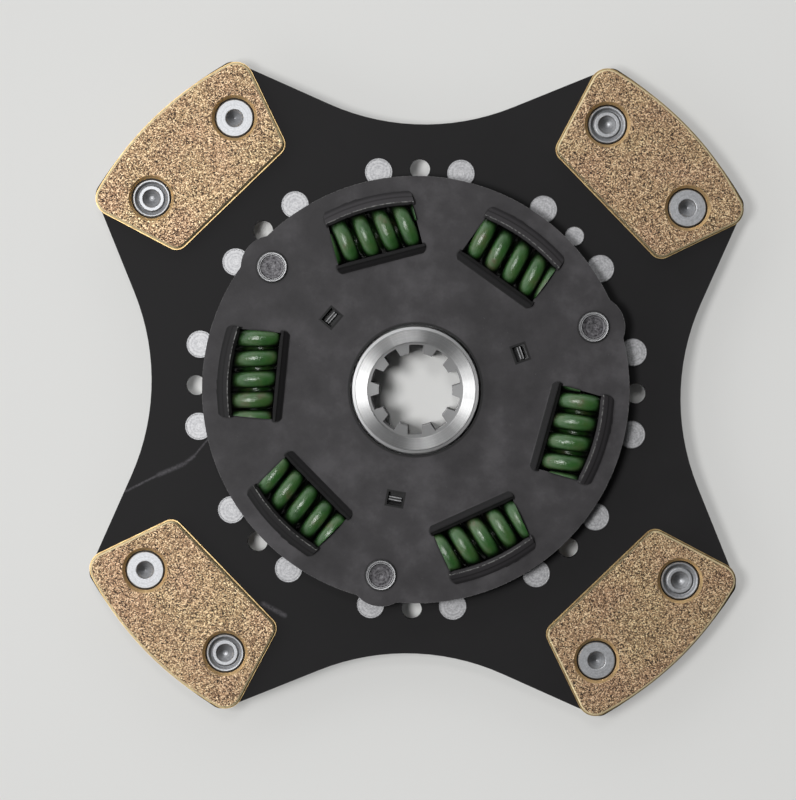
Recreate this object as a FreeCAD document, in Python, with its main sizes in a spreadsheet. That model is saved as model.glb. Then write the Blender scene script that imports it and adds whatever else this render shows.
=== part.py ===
import FreeCAD, Part
import math
import os
import Sketcher

# Clutch disc with four paddles of sintered facing and a six-spring torsion damper.
# The disc lies flat, cover side up, on the rear end of its hub. Z is the shaft axis.
# Lengths are in millimetres and angles in degrees.

doc = FreeCAD.newDocument("ClutchDisc")
origin = FreeCAD.Vector(0, 0, 0)
shaft_axis = FreeCAD.Vector(0, 0, 1)

# Driving dimensions, in the order in which the disc is put together.
DRIVING_SIZES = [
    # Hub and its spline, a ten-groove straight-sided 1 1/8 inch form.
    ("hub_diameter", 39.8),
    ("hub_chamfer", 1.1),
    ("hub_rear_stand", 8.0),
    ("hub_front_stand", 3.5),
    ("spline_grooves", 10),
    ("spline_major_diameter", 28.6),
    ("spline_minor_diameter", 23.2),
    ("spline_groove_width", 4.46),
    ("spline_recess_diameter", 30.4),
    ("spline_recess_depth", 0.8),
    ("spline_start_angle", 90),
    ("flange_thickness", 6.0),
    ("flange_rim", 3.05),
    ("flange_front_root", 1.5),
    ("flange_rear_root", 0.5),
    ("notch_corner", 2.0),
    ("window_side_clearance", 0.25),
    # Coil springs and the pressed windows that hold them.
    ("spring_circle_radius", 51.2),
    ("spring_diameter", 20.0),
    ("spring_wire", 5.5),
    ("spring_pitch", 6.6),
    ("spring_closed_gap", 0.05),
    ("spring_ground_depth", 1.9),
    ("spring_length", 27.4),
    ("spring_1_start_angle", 24),
    ("spring_2_start_angle", 63),
    ("spring_3_start_angle", -3),
    ("spring_4_start_angle", -79),
    ("spring_5_start_angle", -139),
    ("spring_6_start_angle", -156),
    ("spring_half_angle", 34.9),
    ("window_gap", 14.0),
    ("lip_clearance", 0.35),
    ("lip_thickness", 1.7),
    ("lip_bend_radius", 2.0),
    ("lip_run_out", 0.6),
    ("lip_corner_radius", 2.5),
    ("rim_lip_ease", 0.3),
    # Drive plate, carrier plate and cover plate.
    ("damper_angle", 20.5),
    ("drive_thickness", 2.5),
    ("drive_edge", 6.87),
    ("carrier_thickness", 2.0),
    ("cover_thickness", 2.5),
    ("cover_overlap", 2.9),
    ("ear_radius", 9.9),
    ("flange_clearance", 0.7),
    ("hub_gap", 0.75),
    ("outer_diameter", 240.0),
    ("waist_land", 14.12),
    ("waist_arc_radius", 74.6),
    ("flank_angle", 23.0),
    ("lobe_setback", 0.05),
    ("lobe_corner_radius", 4.0),
    # Friction pack round the hub.
    ("rear_space", 1.75),
    ("front_space", 1.75),
    ("rear_ring_width", 10.5),
    ("front_ring_thickness", 0.6),
    ("support_ring_thickness", 0.4),
    ("ring_hub_clearance", 2.0),
    ("diaphragm_thickness", 0.45),
    ("diaphragm_width", 8.5),
    ("diaphragm_clearance", 0.5),
    ("tab_circle_radius", 35.0),
    ("tab_thickness", 1.2),
    ("tab_width", 4.0),
    ("tab_depth_below_face", 0.8),
    ("slot_length", 4.8),
    ("slot_width", 4.0),
    ("bush_wall", 2.5),
    ("bush_running_clearance", 0.05),
    ("bush_collar_width", 1.9),
    ("bush_collar_thickness", 1.2),
    # Stop pins.
    ("pin_diameter", 10.0),
    ("pin_shank_diameter", 7.0),
    ("pin_head_diameter", 9.7),
    ("pin_head_height", 1.2),
    ("pin_dish_radius", 3.3),
    ("pin_dish_depth", 0.4),
    ("pin_travel", 3.2),
    ("pin_notch_clearance", 0.4),
    # Rivets that join the carrier to the drive plate, and the balance holes.
    ("rivet_land", 4.93),
    ("rivet_half_angle", 10.75),
    ("rivet_shank_diameter", 5.0),
    ("rivet_head_diameter", 8.9),
    ("rivet_front_head_height", 0.4),
    ("rivet_rear_head_height", 1.2),
    ("balance_hole_diameter", 6.4),
    ("balance_head_diameter", 9.0),
    ("balance_head_height", 1.2),
    ("balance_stand", 0.25),
    # Facings on their backing plates, and the rivets through them.
    ("pad_inner_distance", 83.7),
    ("pad_inner_half_width", 24.2),
    ("pad_side_angle", 18.3),
    ("pad_outer_arc_radius", 104.0),
    ("pad_inner_corner", 4.0),
    ("pad_outer_corner", 5.7),
    ("backing_thickness", 1.0),
    ("facing_thickness", 2.2),
    ("facing_setback", 0.5),
    ("facing_edge_chamfer", 0.5),
    ("pad_rivet_offset", 1.75),
    ("pad_rivet_half_angle", 10.2),
    ("pad_rivet_shank_diameter", 6.0),
    ("pad_rivet_head_diameter", 12.0),
    ("pad_rivet_head_height", 1.3),
    ("pad_rivet_dimple_diameter", 5.1),
    ("pad_rivet_dimple_depth", 0.7),
    ("pad_recess_diameter", 12.7),
    ("pad_recess_chamfer", 0.9),
    # Radial room of every riveted or pressed seat.
    ("seat_clearance", 0.05),
]


class Size:
    """A number of the sheet, or one worked out from some, with the expression that spells it."""

    def __init__(self, number, text):
        self.number = float(number)
        self.text = text

    def __add__(self, other):
        other = as_size(other)
        return Size(self.number + other.number, "(%s + %s)" % (self.text, other.text))

    def __sub__(self, other):
        other = as_size(other)
        return Size(self.number - other.number, "(%s - %s)" % (self.text, other.text))

    def __mul__(self, other):
        other = as_size(other)
        return Size(self.number * other.number, "(%s * %s)" % (self.text, other.text))

    def __truediv__(self, other):
        other = as_size(other)
        return Size(self.number / other.number, "(%s / %s)" % (self.text, other.text))

    def __neg__(self):
        return Size(-self.number, "(0 - %s)" % self.text)


def as_size(value):
    if isinstance(value, Size):
        return value
    return Size(value, repr(value))


def sine(angle):
    angle = as_size(angle)
    return Size(math.sin(math.radians(angle.number)), "sin(%s)" % angle.text)


def cosine(angle):
    angle = as_size(angle)
    return Size(math.cos(math.radians(angle.number)), "cos(%s)" % angle.text)


def root(value):
    return Size(math.sqrt(value.number), "sqrt(%s)" % value.text)


sheet = doc.addObject("Spreadsheet::Sheet", "Sizes")
given = {}
for row, (alias, number) in enumerate(DRIVING_SIZES, start=1):
    sheet.set("A%d" % row, alias)
    sheet.set("B%d" % row, str(number))
    sheet.setAlias("B%d" % row, alias)
    given[alias] = Size(number, "Sizes.%s" % alias)
doc.recompute()

# Radii that follow from the driving sizes.
hub_radius = given["hub_diameter"] / 2
spring_radius = given["spring_diameter"] / 2
spring_circle = given["spring_circle_radius"]
half_window = given["spring_length"] / 2
flange_radius = spring_circle + spring_radius + given["window_side_clearance"] + given["flange_rim"]
carrier_bore = flange_radius + given["flange_clearance"]
cover_radius = flange_radius + given["cover_overlap"]
pin_circle = flange_radius - given["pin_diameter"] / 2
rivet_circle = carrier_bore + given["rivet_land"]
drive_radius = rivet_circle + given["drive_edge"]
waist_radius = rivet_circle + given["waist_land"]
outer_radius = given["outer_diameter"] / 2
lobe_radius = outer_radius - given["lobe_setback"]
pad_rivet_circle = (given["pad_inner_distance"] + outer_radius) / 2 + given["pad_rivet_offset"]
bush_outer = hub_radius + given["bush_running_clearance"] + given["bush_wall"]

# Heights, from the surface that the hub's rear end rests on.
drive_rear = given["hub_rear_stand"]
drive_front = drive_rear + given["drive_thickness"]
carrier_front = drive_front + given["carrier_thickness"]
carrier_middle = drive_front + given["carrier_thickness"] / 2
flange_rear = drive_front + given["rear_space"]
flange_front = flange_rear + given["flange_thickness"]
cover_rear = flange_front + given["front_space"]
cover_front = cover_rear + given["cover_thickness"]
hub_front = cover_front + given["hub_front_stand"]
spring_height = (drive_front + cover_rear) / 2

zero = as_size(0)
spring_steps_per_turn = 14
spring_wire_sides = 8


def turned(x, y, angle):
    """The point x, y turned about the shaft axis."""
    x, y = as_size(x), as_size(y)
    return (x * cosine(angle) - y * sine(angle), x * sine(angle) + y * cosine(angle))


def new_body(name):
    body = doc.addObject("PartDesign::Body", name)
    body.Label = name
    return body


def origin_feature(body, role):
    return next(item for item in body.Origin.OriginFeatures if item.Role == role)


def new_sketch(body, name, height=None, role="XY_Plane"):
    """A sketch on one of the body's own planes, lifted to a height along the plane's normal."""
    sketch = body.newObject("Sketcher::SketchObject", name)
    sketch.AttachmentSupport = [(origin_feature(body, role), "")]
    sketch.MapMode = "FlatFace"
    if height is not None:
        sketch.setExpression("AttachmentOffset.Base.z", height.text)
    return sketch


def fix(sketch, kind, *places):
    """One driving constraint whose value is bound to the sheet."""
    size = places[-1]
    index = sketch.addConstraint(Sketcher.Constraint(kind, *places[:-1], size.number))
    sketch.setExpression("Constraints[%d]" % index, size.text)


def circle(sketch, x, y, radius):
    x, y = as_size(x), as_size(y)
    centre = FreeCAD.Vector(x.number, y.number, 0)
    index = sketch.addGeometry(Part.Circle(centre, shaft_axis, radius.number), False)
    fix(sketch, "Radius", index, radius)
    if x is zero and y is zero:
        sketch.addConstraint(Sketcher.Constraint("Coincident", index, 3, -1, 1))
        return
    fix(sketch, "DistanceX", -1, 1, index, 3, x)
    fix(sketch, "DistanceY", -1, 1, index, 3, y)


def arc_between(start, end, radius, side):
    """The short arc from start to end, with its centre on the left (1) or the right (-1)."""
    middle = (start + end) / 2
    chord = end - start
    rise = math.sqrt(max(radius ** 2 - (chord.Length / 2) ** 2, 0))
    left = FreeCAD.Vector(-chord.y, chord.x, 0).normalize()
    centre = middle + left * rise * side
    angles = [math.atan2(p.y - centre.y, p.x - centre.x) for p in (start, end)]
    if side < 0:
        angles.reverse()
    return Part.ArcOfCircle(Part.Circle(centre, shaft_axis, radius), angles[0], angles[1])


def outline(sketch, corners, arcs=None):
    """A closed outline through the corners. arcs gives an edge's radius and centre side."""
    arcs = arcs or {}
    points = [FreeCAD.Vector(x.number, y.number, 0) for x, y in corners]
    count = len(corners)
    ends = []
    for index in range(count):
        start, end = points[index], points[(index + 1) % count]
        if index in arcs:
            radius, side = arcs[index]
            edge = sketch.addGeometry(arc_between(start, end, radius.number, side), False)
            ends.append((edge, 1, 2) if side > 0 else (edge, 2, 1))
            fix(sketch, "Radius", edge, radius)
        else:
            edge = sketch.addGeometry(Part.LineSegment(start, end), False)
            ends.append((edge, 1, 2))
    for index in range(count):
        edge, first, last = ends[index]
        following, following_first, _ = ends[(index + 1) % count]
        sketch.addConstraint(Sketcher.Constraint("Coincident", edge, last, following, following_first))
        fix(sketch, "DistanceX", -1, 1, edge, first, corners[index][0])
        fix(sketch, "DistanceY", -1, 1, edge, first, corners[index][1])


def pad(body, sketch, name, length):
    feature = body.newObject("PartDesign::Pad", name)
    feature.Profile = sketch
    feature.setExpression("Length", length.text)
    body.Tip = feature
    return feature


def pocket(body, sketch, name, length, upwards=True):
    """A cut of the given depth that starts at the sketch and goes up or down."""
    feature = body.newObject("PartDesign::Pocket", name)
    feature.Profile = sketch
    feature.setExpression("Length", length.text)
    feature.Reversed = upwards
    body.Tip = feature
    return feature


def revolve(body, sketch, name):
    feature = body.newObject("PartDesign::Revolution", name)
    feature.Profile = sketch
    feature.ReferenceAxis = (sketch, ["V_Axis"])
    feature.Angle = 360
    body.Tip = feature
    return feature


def polar(body, name, feature, count):
    pattern = body.newObject("PartDesign::PolarPattern", name)
    pattern.Originals = [feature]
    pattern.Axis = (origin_feature(body, "Z_Axis"), [""])
    pattern.Angle = 360
    if isinstance(count, Size):
        pattern.setExpression("Occurrences", count.text)
    else:
        pattern.Occurrences = count
    body.Tip = pattern
    return pattern


def upright_edges(feature, x, y):
    """Names of the feature's vertical edges as far from the shaft axis as the point x, y."""
    distance_from_axis = math.hypot(x.number, y.number)
    names = []
    for number, edge in enumerate(feature.Shape.Edges, start=1):
        first, last = edge.Vertexes[0].Point, edge.Vertexes[-1].Point
        level = math.hypot(first.x - last.x, first.y - last.y) < 0.001
        if level and abs(math.hypot(first.x, first.y) - distance_from_axis) < 0.01:
            names.append("Edge%d" % number)
    return names


def fillet(body, name, feature, edges, radius):
    rounding = body.newObject("PartDesign::Fillet", name)
    rounding.Base = (feature, edges)
    rounding.setExpression("Radius", radius.text)
    body.Tip = rounding
    return rounding


nodes = []


def keep(item, name):
    """Marks an object as a sub-part of the disc."""
    item.Label = name
    nodes.append(item)
    return item


def placed_copy(name, shape, placement):
    copy = doc.addObject("Part::Feature", name)
    copy.Shape = shape
    copy.Placement = placement
    return keep(copy, name)


def about_shaft(angle):
    return FreeCAD.Placement(origin, FreeCAD.Rotation(shaft_axis, angle))


def ring_of_copies(name, shape, radius, angles):
    """Like fasteners in one node: a group of separate solids on a circle."""
    group = []
    for angle in angles:
        single = shape.copy()
        seat = FreeCAD.Placement(FreeCAD.Vector(radius.number, 0, 0), FreeCAD.Rotation())
        single.Placement = about_shaft(angle).multiply(seat).multiply(single.Placement)
        group.append(single)
    return placed_copy(name, Part.makeCompound(group), FreeCAD.Placement())


# Hub: one forging with its flange, turned outside and broached inside.
hub = new_body("hub")
minor_radius = given["spline_minor_diameter"] / 2
major_radius = given["spline_major_diameter"] / 2
recess_radius = given["spline_recess_diameter"] / 2
chamfer = given["hub_chamfer"]
rear_root = given["flange_rear_root"]
front_root = given["flange_front_root"]
profile = new_sketch(hub, "hub_profile", role="XZ_Plane")
outline(profile, [
    (minor_radius, chamfer),
    (minor_radius + chamfer, zero),
    (hub_radius - chamfer, zero),
    (hub_radius, chamfer),
    (hub_radius, flange_rear - rear_root),
    (hub_radius + rear_root, flange_rear),
    (flange_radius, flange_rear),
    (flange_radius, flange_front),
    (hub_radius + front_root, flange_front),
    (hub_radius, flange_front + front_root),
    (hub_radius, hub_front - chamfer),
    (hub_radius - chamfer, hub_front),
    (recess_radius, hub_front),
    (recess_radius, hub_front - given["spline_recess_depth"]),
    (minor_radius, hub_front - given["spline_recess_depth"]),
], {4: (rear_root, -1), 8: (front_root, -1)})
revolve(hub, profile, "hub_turning")

groove = new_sketch(hub, "spline_groove", height=-chamfer)
half_groove = given["spline_groove_width"] / 2
groove_corner = root(major_radius * major_radius - half_groove * half_groove)
groove_start = minor_radius - half_groove
outline(groove, [
    turned(groove_start, -half_groove, given["spline_start_angle"]),
    turned(groove_corner, -half_groove, given["spline_start_angle"]),
    turned(groove_corner, half_groove, given["spline_start_angle"]),
    turned(groove_start, half_groove, given["spline_start_angle"]),
], {1: (major_radius, 1)})
groove_cut = pocket(hub, groove, "spline_groove_cut", hub_front + chamfer * 2)
polar(hub, "spline", groove_cut, given["spline_grooves"])

window_reach = spring_radius + given["window_side_clearance"]
windows = new_sketch(hub, "flange_windows", height=flange_rear)
for side in (-1, 1):
    angle = given["damper_angle"] + given["spring_half_angle"] * side
    outline(windows, [
        turned(spring_circle - window_reach, -half_window, angle),
        turned(spring_circle + window_reach, -half_window, angle),
        turned(spring_circle + window_reach, half_window, angle),
        turned(spring_circle - window_reach, half_window, angle),
    ])
window_cut = pocket(hub, windows, "flange_window_cut", given["flange_thickness"])
polar(hub, "flange_window_ring", window_cut, 3)

notch = new_sketch(hub, "stop_notch", height=flange_rear)
notch_half = (
    given["pin_diameter"] / 2 + given["pin_notch_clearance"]
    + pin_circle * sine(given["pin_travel"])
)
notch_floor = pin_circle - given["pin_diameter"] / 2 - given["pin_notch_clearance"]
notch_end = flange_radius + given["flange_clearance"]
outline(notch, [
    turned(notch_floor, -notch_half, given["damper_angle"]),
    turned(notch_end, -notch_half, given["damper_angle"]),
    turned(notch_end, notch_half, given["damper_angle"]),
    turned(notch_floor, notch_half, given["damper_angle"]),
])
notch_cut = pocket(hub, notch, "stop_notch_cut", given["flange_thickness"])
notches = polar(hub, "stop_notch_ring", notch_cut, 3)
doc.recompute()
floor_corners = upright_edges(notches, notch_floor, notch_half)
notches = fillet(hub, "notch_corners", notches, floor_corners, given["notch_corner"])
doc.recompute()
window_corners = upright_edges(notches, spring_circle - window_reach, half_window)
window_corners += upright_edges(notches, spring_circle + window_reach, half_window)
fillet(hub, "flange_window_corners", notches, window_corners, given["window_side_clearance"])
keep(hub, "hub")

# Carrier plate: a sheet blank with four lobes, each side waisted by an arc with straight flanks.
carrier = new_body("carrier_plate")
blank = new_sketch(carrier, "carrier_outline", height=drive_front)
flank = given["flank_angle"]
waist_arc = given["waist_arc_radius"]
tangent_x = waist_radius + waist_arc * (as_size(1) - cosine(flank))
tangent_y = waist_arc * sine(flank)
along = tangent_x * sine(flank) + tangent_y * cosine(flank)
across = tangent_x * cosine(flank) - tangent_y * sine(flank)
flank_run = root(lobe_radius * lobe_radius - across * across) - along
lobe_x = tangent_x + flank_run * sine(flank)
lobe_y = tangent_y + flank_run * cosine(flank)
corners = []
arcs = {}
for quarter in range(4):
    for x, y in ((lobe_x, -lobe_y), (tangent_x, -tangent_y), (tangent_x, tangent_y), (lobe_x, lobe_y)):
        corners.append(turned(x, y, 90 * quarter))
    arcs[4 * quarter + 1] = (waist_arc, -1)
    arcs[4 * quarter + 3] = (lobe_radius, 1)
outline(blank, corners, arcs)
circle(blank, zero, zero, carrier_bore)
carrier_blank = pad(carrier, blank, "carrier_blank", given["carrier_thickness"])
doc.recompute()
lobe_edges = upright_edges(carrier_blank, lobe_radius, zero)
fillet(carrier, "carrier_lobe_corners", carrier_blank, lobe_edges, given["lobe_corner_radius"])
rivet_hole_radius = given["rivet_shank_diameter"] / 2 + given["seat_clearance"]
balance_hole_radius = given["balance_hole_diameter"] / 2
pin_hole_radius = given["pin_shank_diameter"] / 2 + given["seat_clearance"]
pad_rivet_hole_radius = given["pad_rivet_shank_diameter"] / 2 + given["seat_clearance"]


def plate_ring_holes(body, name, height, depth):
    """Sixteen rivet holes and eight balance holes, on one circle."""
    holes = new_sketch(body, name + "_ring_sketch", height=height)
    for side in (-1, 1):
        x, y = turned(rivet_circle, 0, given["rivet_half_angle"] * side)
        circle(holes, x, y, rivet_hole_radius)
    circle(holes, rivet_circle, as_size(0), balance_hole_radius)
    cut = pocket(body, holes, name + "_ring_cut", depth)
    polar(body, name + "_ring_holes", cut, 8)


plate_ring_holes(carrier, "carrier", drive_front, given["carrier_thickness"])
lobe_holes = new_sketch(carrier, "carrier_pad_rivet_holes", height=drive_front)
for side in (-1, 1):
    x, y = turned(pad_rivet_circle, 0, given["pad_rivet_half_angle"] * side + 45)
    circle(lobe_holes, x, y, pad_rivet_hole_radius)
lobe_hole_cut = pocket(carrier, lobe_holes, "carrier_pad_rivet_cut", given["carrier_thickness"])
polar(carrier, "carrier_pad_rivet_ring", lobe_hole_cut, 4)
keep(carrier, "carrier_plate")


# Pressed windows: a straight lip on the shaft side and an arched lip on the rim side,
# both rolled round the spring, with a square-ended opening between them.
lip_inside = (spring_radius + given["lip_clearance"]).number
lip_outside = lip_inside + given["lip_thickness"].number
bend = given["lip_bend_radius"].number
half_gap = given["window_gap"].number / 2
half_opening = half_window.number
rim_tip_radius = spring_circle.number + half_gap
rim_arch = rim_tip_radius - math.sqrt(rim_tip_radius ** 2 - half_opening ** 2)
rim_shift = rim_arch - given["rim_lip_ease"].number
shaft_tip_angle = math.degrees(math.asin(half_gap / lip_inside))
rim_tip_angle = math.degrees(math.asin((half_gap - rim_shift) / lip_inside))
face_level = (cover_front - spring_height).number
bend_level = face_level + bend
bend_offset = math.sqrt((lip_outside + bend) ** 2 - bend_level ** 2)
lip_half_length = half_opening + given["lip_run_out"].number
lip_corner = given["lip_corner_radius"].number
sweep_angle = 60.0


def section_point(centre_x, side, offset, level):
    """A point of a section: offset from the spring's axis, level above it."""
    return FreeCAD.Vector(centre_x + side * offset, 0, spring_height.number + level)


def polar_point(centre_x, side, distance, angle):
    """A point of a section by its distance and its angle from straight up."""
    lean = math.radians(angle)
    return section_point(centre_x, side, distance * math.sin(lean), distance * math.cos(lean))


def lip_face(centre_x, side, tip_angle):
    """The lip's section: rolled round the spring, with a bend into the plate's face."""
    bend_angle = math.degrees(math.atan2(bend_offset, bend_level))
    sunk_level = face_level - given["cover_thickness"].number / 2
    sunk_angle = math.degrees(math.acos(sunk_level / lip_inside))
    half_bend = math.radians(bend_angle / 2)
    tip_inside = polar_point(centre_x, side, lip_inside, tip_angle)
    tip_outside = polar_point(centre_x, side, lip_outside, tip_angle)
    outside_middle = polar_point(centre_x, side, lip_outside, (tip_angle + bend_angle) / 2)
    bend_start = polar_point(centre_x, side, lip_outside, bend_angle)
    belly_offset = bend_offset - bend * math.sin(half_bend)
    belly_level = bend_level - bend * math.cos(half_bend)
    bend_belly = section_point(centre_x, side, belly_offset, belly_level)
    bend_end = section_point(centre_x, side, bend_offset, face_level)
    sunk_outside = section_point(centre_x, side, bend_offset, sunk_level)
    sunk_inside = polar_point(centre_x, side, lip_inside, sunk_angle)
    inside_middle = polar_point(centre_x, side, lip_inside, (sunk_angle + tip_angle) / 2)
    edges = [
        Part.LineSegment(tip_inside, tip_outside).toShape(),
        Part.Arc(tip_outside, outside_middle, bend_start).toShape(),
        Part.Arc(bend_start, bend_belly, bend_end).toShape(),
        Part.LineSegment(bend_end, sunk_outside).toShape(),
        Part.LineSegment(sunk_outside, sunk_inside).toShape(),
        Part.Arc(sunk_inside, inside_middle, tip_inside).toShape(),
    ]
    return Part.Face(Part.Wire(edges))


def straight_run(face, half_length):
    start = face.translated(FreeCAD.Vector(0, -half_length, 0))
    return start.extrude(FreeCAD.Vector(0, 2 * half_length, 0))


def arched_run(face):
    start = face.rotated(origin, shaft_axis, -sweep_angle / 2)
    return start.revolve(origin, shaft_axis, sweep_angle)


def upright_prism(edges):
    low = FreeCAD.Vector(0, 0, spring_height.number - 2 * lip_outside)
    return Part.Face(Part.Wire(edges)).translated(low).extrude(shaft_axis * 4 * lip_outside)


def lip_plan(corner, lean, base_edge):
    """Plan outline of a lip with rounded base corners: its corner's centre, and how the base leans."""
    middle = (lean + math.pi / 2) / 2
    edges = [base_edge]
    for side in (-1, 1):
        tip = FreeCAD.Vector(spring_circle.number, side * lip_half_length, 0)
        points = []
        for turn in (math.pi / 2, middle, lean):
            point = corner + FreeCAD.Vector(math.cos(turn), math.sin(turn), 0) * lip_corner
            points.append(FreeCAD.Vector(point.x, side * point.y, 0))
        edges.append(Part.LineSegment(tip, points[0]).toShape())
        edges.append(Part.Arc(*points).toShape())
    ends = [FreeCAD.Vector(spring_circle.number, side * lip_half_length, 0) for side in (-1, 1)]
    edges.append(Part.LineSegment(*ends).toShape())
    return Part.__sortEdges__(edges)


def shaft_lip_plan():
    """The straight lip's plan outline."""
    base_x = spring_circle.number - bend_offset
    inner_y = lip_half_length - lip_corner
    base = Part.LineSegment(FreeCAD.Vector(base_x, -inner_y, 0), FreeCAD.Vector(base_x, inner_y, 0))
    return lip_plan(FreeCAD.Vector(base_x + lip_corner, inner_y, 0), math.pi, base.toShape())


def rim_lip_plan():
    """The arched lip's plan outline."""
    base_radius = spring_circle.number + rim_shift + bend_offset
    inner_y = lip_half_length - lip_corner
    inner_x = math.sqrt((base_radius - lip_corner) ** 2 - inner_y ** 2)
    lean = math.atan2(inner_y, inner_x)
    ends = [
        FreeCAD.Vector(base_radius * math.cos(lean), side * base_radius * math.sin(lean), 0)
        for side in (-1, 1)
    ]
    base = Part.Arc(ends[0], FreeCAD.Vector(base_radius, 0, 0), ends[1])
    return lip_plan(FreeCAD.Vector(inner_x, inner_y, 0), lean, base.toShape())


def window_lips():
    shaft_side = lip_face(spring_circle.number, -1, shaft_tip_angle)
    rim_side = lip_face(spring_circle.number + rim_shift, 1, rim_tip_angle)
    straight = straight_run(shaft_side, lip_half_length).common(upright_prism(shaft_lip_plan()))
    arched = arched_run(rim_side).common(upright_prism(rim_lip_plan()))
    return [straight, arched]


def wedge_face(centre_x, first, last, reach):
    points = [section_point(centre_x, 1, 0, 0)]
    points += [polar_point(centre_x, 1, reach, angle) for angle in (first, last)]
    return Part.Face(Part.makePolygon(points + points[:1]))


def circle_face(centre_x, radius):
    centre = section_point(centre_x, 1, 0, 0)
    return Part.Face(Part.Wire(Part.makeCircle(radius, centre, FreeCAD.Vector(0, 1, 0))))


def window_tunnel():
    """What is cut from the plate: the room for the spring, and the gap between the lips' tips."""
    rim_centre = spring_circle.number + rim_shift
    reach = lip_outside * 1.5
    corner = FreeCAD.Vector(-2 * lip_outside, -half_opening, -2 * lip_outside)
    low = corner + section_point(rim_centre, 1, 0, 0)
    opening = Part.makeBox(4 * lip_outside, 2 * half_opening, 4 * lip_outside, low)
    shaft_wedge = wedge_face(spring_circle.number, -shaft_tip_angle, rim_tip_angle, reach)
    straight = [
        straight_run(circle_face(spring_circle.number, lip_inside), half_opening),
        straight_run(shaft_wedge, half_opening),
    ]
    arched = [
        arched_run(circle_face(rim_centre, lip_inside)).common(opening),
        arched_run(wedge_face(rim_centre, -rim_tip_angle, rim_tip_angle, reach)).common(opening),
    ]
    return straight[0].fuse([straight[1]] + arched)


spring_angles = [
    given["damper_angle"].number + 120 * third + given["spring_half_angle"].number * side
    for third in range(3)
    for side in (-1, 1)
]


def six_times(shapes):
    copies = []
    for angle in spring_angles:
        copies += [shape.rotated(origin, shaft_axis, angle) for shape in shapes]
    return copies


def pressed_plate(body, name, lips, tunnels):
    """A flat plate with its lips added and the windows cut through."""
    lip_ring = doc.addObject("Part::Feature", name + "_lips")
    lip_ring.Shape = Part.makeCompound(lips)
    window_ring = doc.addObject("Part::Feature", name + "_windows")
    window_ring.Shape = Part.makeCompound(tunnels)
    raised = doc.addObject("Part::Fuse", name + "_raised")
    raised.Base = body
    raised.Tool = lip_ring
    raised.Refine = True
    plate = doc.addObject("Part::Cut", name)
    plate.Base = raised
    plate.Tool = window_ring
    return keep(plate, name)


front_lips = six_times(window_lips())
front_tunnels = six_times([window_tunnel()])
mirror_plane = (FreeCAD.Vector(0, 0, spring_height.number), shaft_axis)
rear_lips = [shape.mirror(*mirror_plane) for shape in front_lips]
rear_tunnels = [shape.mirror(*mirror_plane) for shape in front_tunnels]

# Cover plate: a round sheet with three ears for the stop pins.
cover = new_body("cover_blank")
disc_sketch = new_sketch(cover, "cover_outline", height=cover_rear)
circle(disc_sketch, zero, zero, cover_radius)
pad(cover, disc_sketch, "cover_disc", given["cover_thickness"])
ear_sketch = new_sketch(cover, "cover_ear_outline", height=cover_rear)
pin_x, pin_y = turned(pin_circle, 0, given["damper_angle"])
circle(ear_sketch, pin_x, pin_y, given["ear_radius"])
ear = pad(cover, ear_sketch, "cover_ear", given["cover_thickness"])
polar(cover, "cover_ears", ear, 3)
cover_bore = new_sketch(cover, "cover_bore_outline", height=cover_rear)
circle(cover_bore, zero, zero, hub_radius + given["hub_gap"])
pocket(cover, cover_bore, "cover_bore_cut", given["cover_thickness"])
openings = new_sketch(cover, "cover_pin_hole_and_slot", height=cover_rear)
circle(openings, pin_x, pin_y, pin_hole_radius)
tab_circle = given["tab_circle_radius"]
half_slot = given["slot_width"] / 2
half_slot_length = given["slot_length"] / 2
outline(openings, [
    turned(tab_circle - half_slot, -half_slot_length, given["damper_angle"]),
    turned(tab_circle + half_slot, -half_slot_length, given["damper_angle"]),
    turned(tab_circle + half_slot, half_slot_length, given["damper_angle"]),
    turned(tab_circle - half_slot, half_slot_length, given["damper_angle"]),
])
opening_cut = pocket(cover, openings, "cover_opening_cut", given["cover_thickness"])
polar(cover, "cover_openings", opening_cut, 3)
pressed_plate(cover, "cover_plate", front_lips, front_tunnels)

# Drive plate: the same windows behind the carrier, a bore for the centring bush.
drive = new_body("drive_blank")
drive_sketch = new_sketch(drive, "drive_outline", height=drive_rear)
circle(drive_sketch, zero, zero, drive_radius)
circle(drive_sketch, zero, zero, bush_outer + given["seat_clearance"])
pad(drive, drive_sketch, "drive_disc", given["drive_thickness"])
plate_ring_holes(drive, "drive", drive_rear, given["drive_thickness"])
drive_pin_holes = new_sketch(drive, "drive_pin_hole", height=drive_rear)
circle(drive_pin_holes, pin_x, pin_y, pin_hole_radius)
drive_pin_cut = pocket(drive, drive_pin_holes, "drive_pin_cut", given["drive_thickness"])
polar(drive, "drive_pin_holes", drive_pin_cut, 3)
pressed_plate(drive, "drive_plate", rear_lips, rear_tunnels)

# Centring bush: a collared sleeve that the hub turns in.
bush = new_body("centring_bush")
bush_profile = new_sketch(bush, "bush_profile", role="XZ_Plane")
bush_bore = hub_radius + given["bush_running_clearance"]
collar_radius = bush_outer + given["bush_collar_width"]
collar_top = drive_front + given["bush_collar_thickness"]
outline(bush_profile, [
    (bush_bore, drive_rear),
    (bush_outer, drive_rear),
    (bush_outer, drive_front),
    (collar_radius, drive_front),
    (collar_radius, collar_top),
    (bush_bore, collar_top),
])
revolve(bush, bush_profile, "bush_turning")
keep(bush, "centring_bush")


def flat_ring(name, inner, outer, height, thickness):
    """A plain washer of the friction pack."""
    body = new_body(name)
    sketch = new_sketch(body, name + "_outline", height=height)
    circle(sketch, zero, zero, outer)
    circle(sketch, zero, zero, inner)
    pad(body, sketch, name + "_disc", thickness)
    return keep(body, name)


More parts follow.
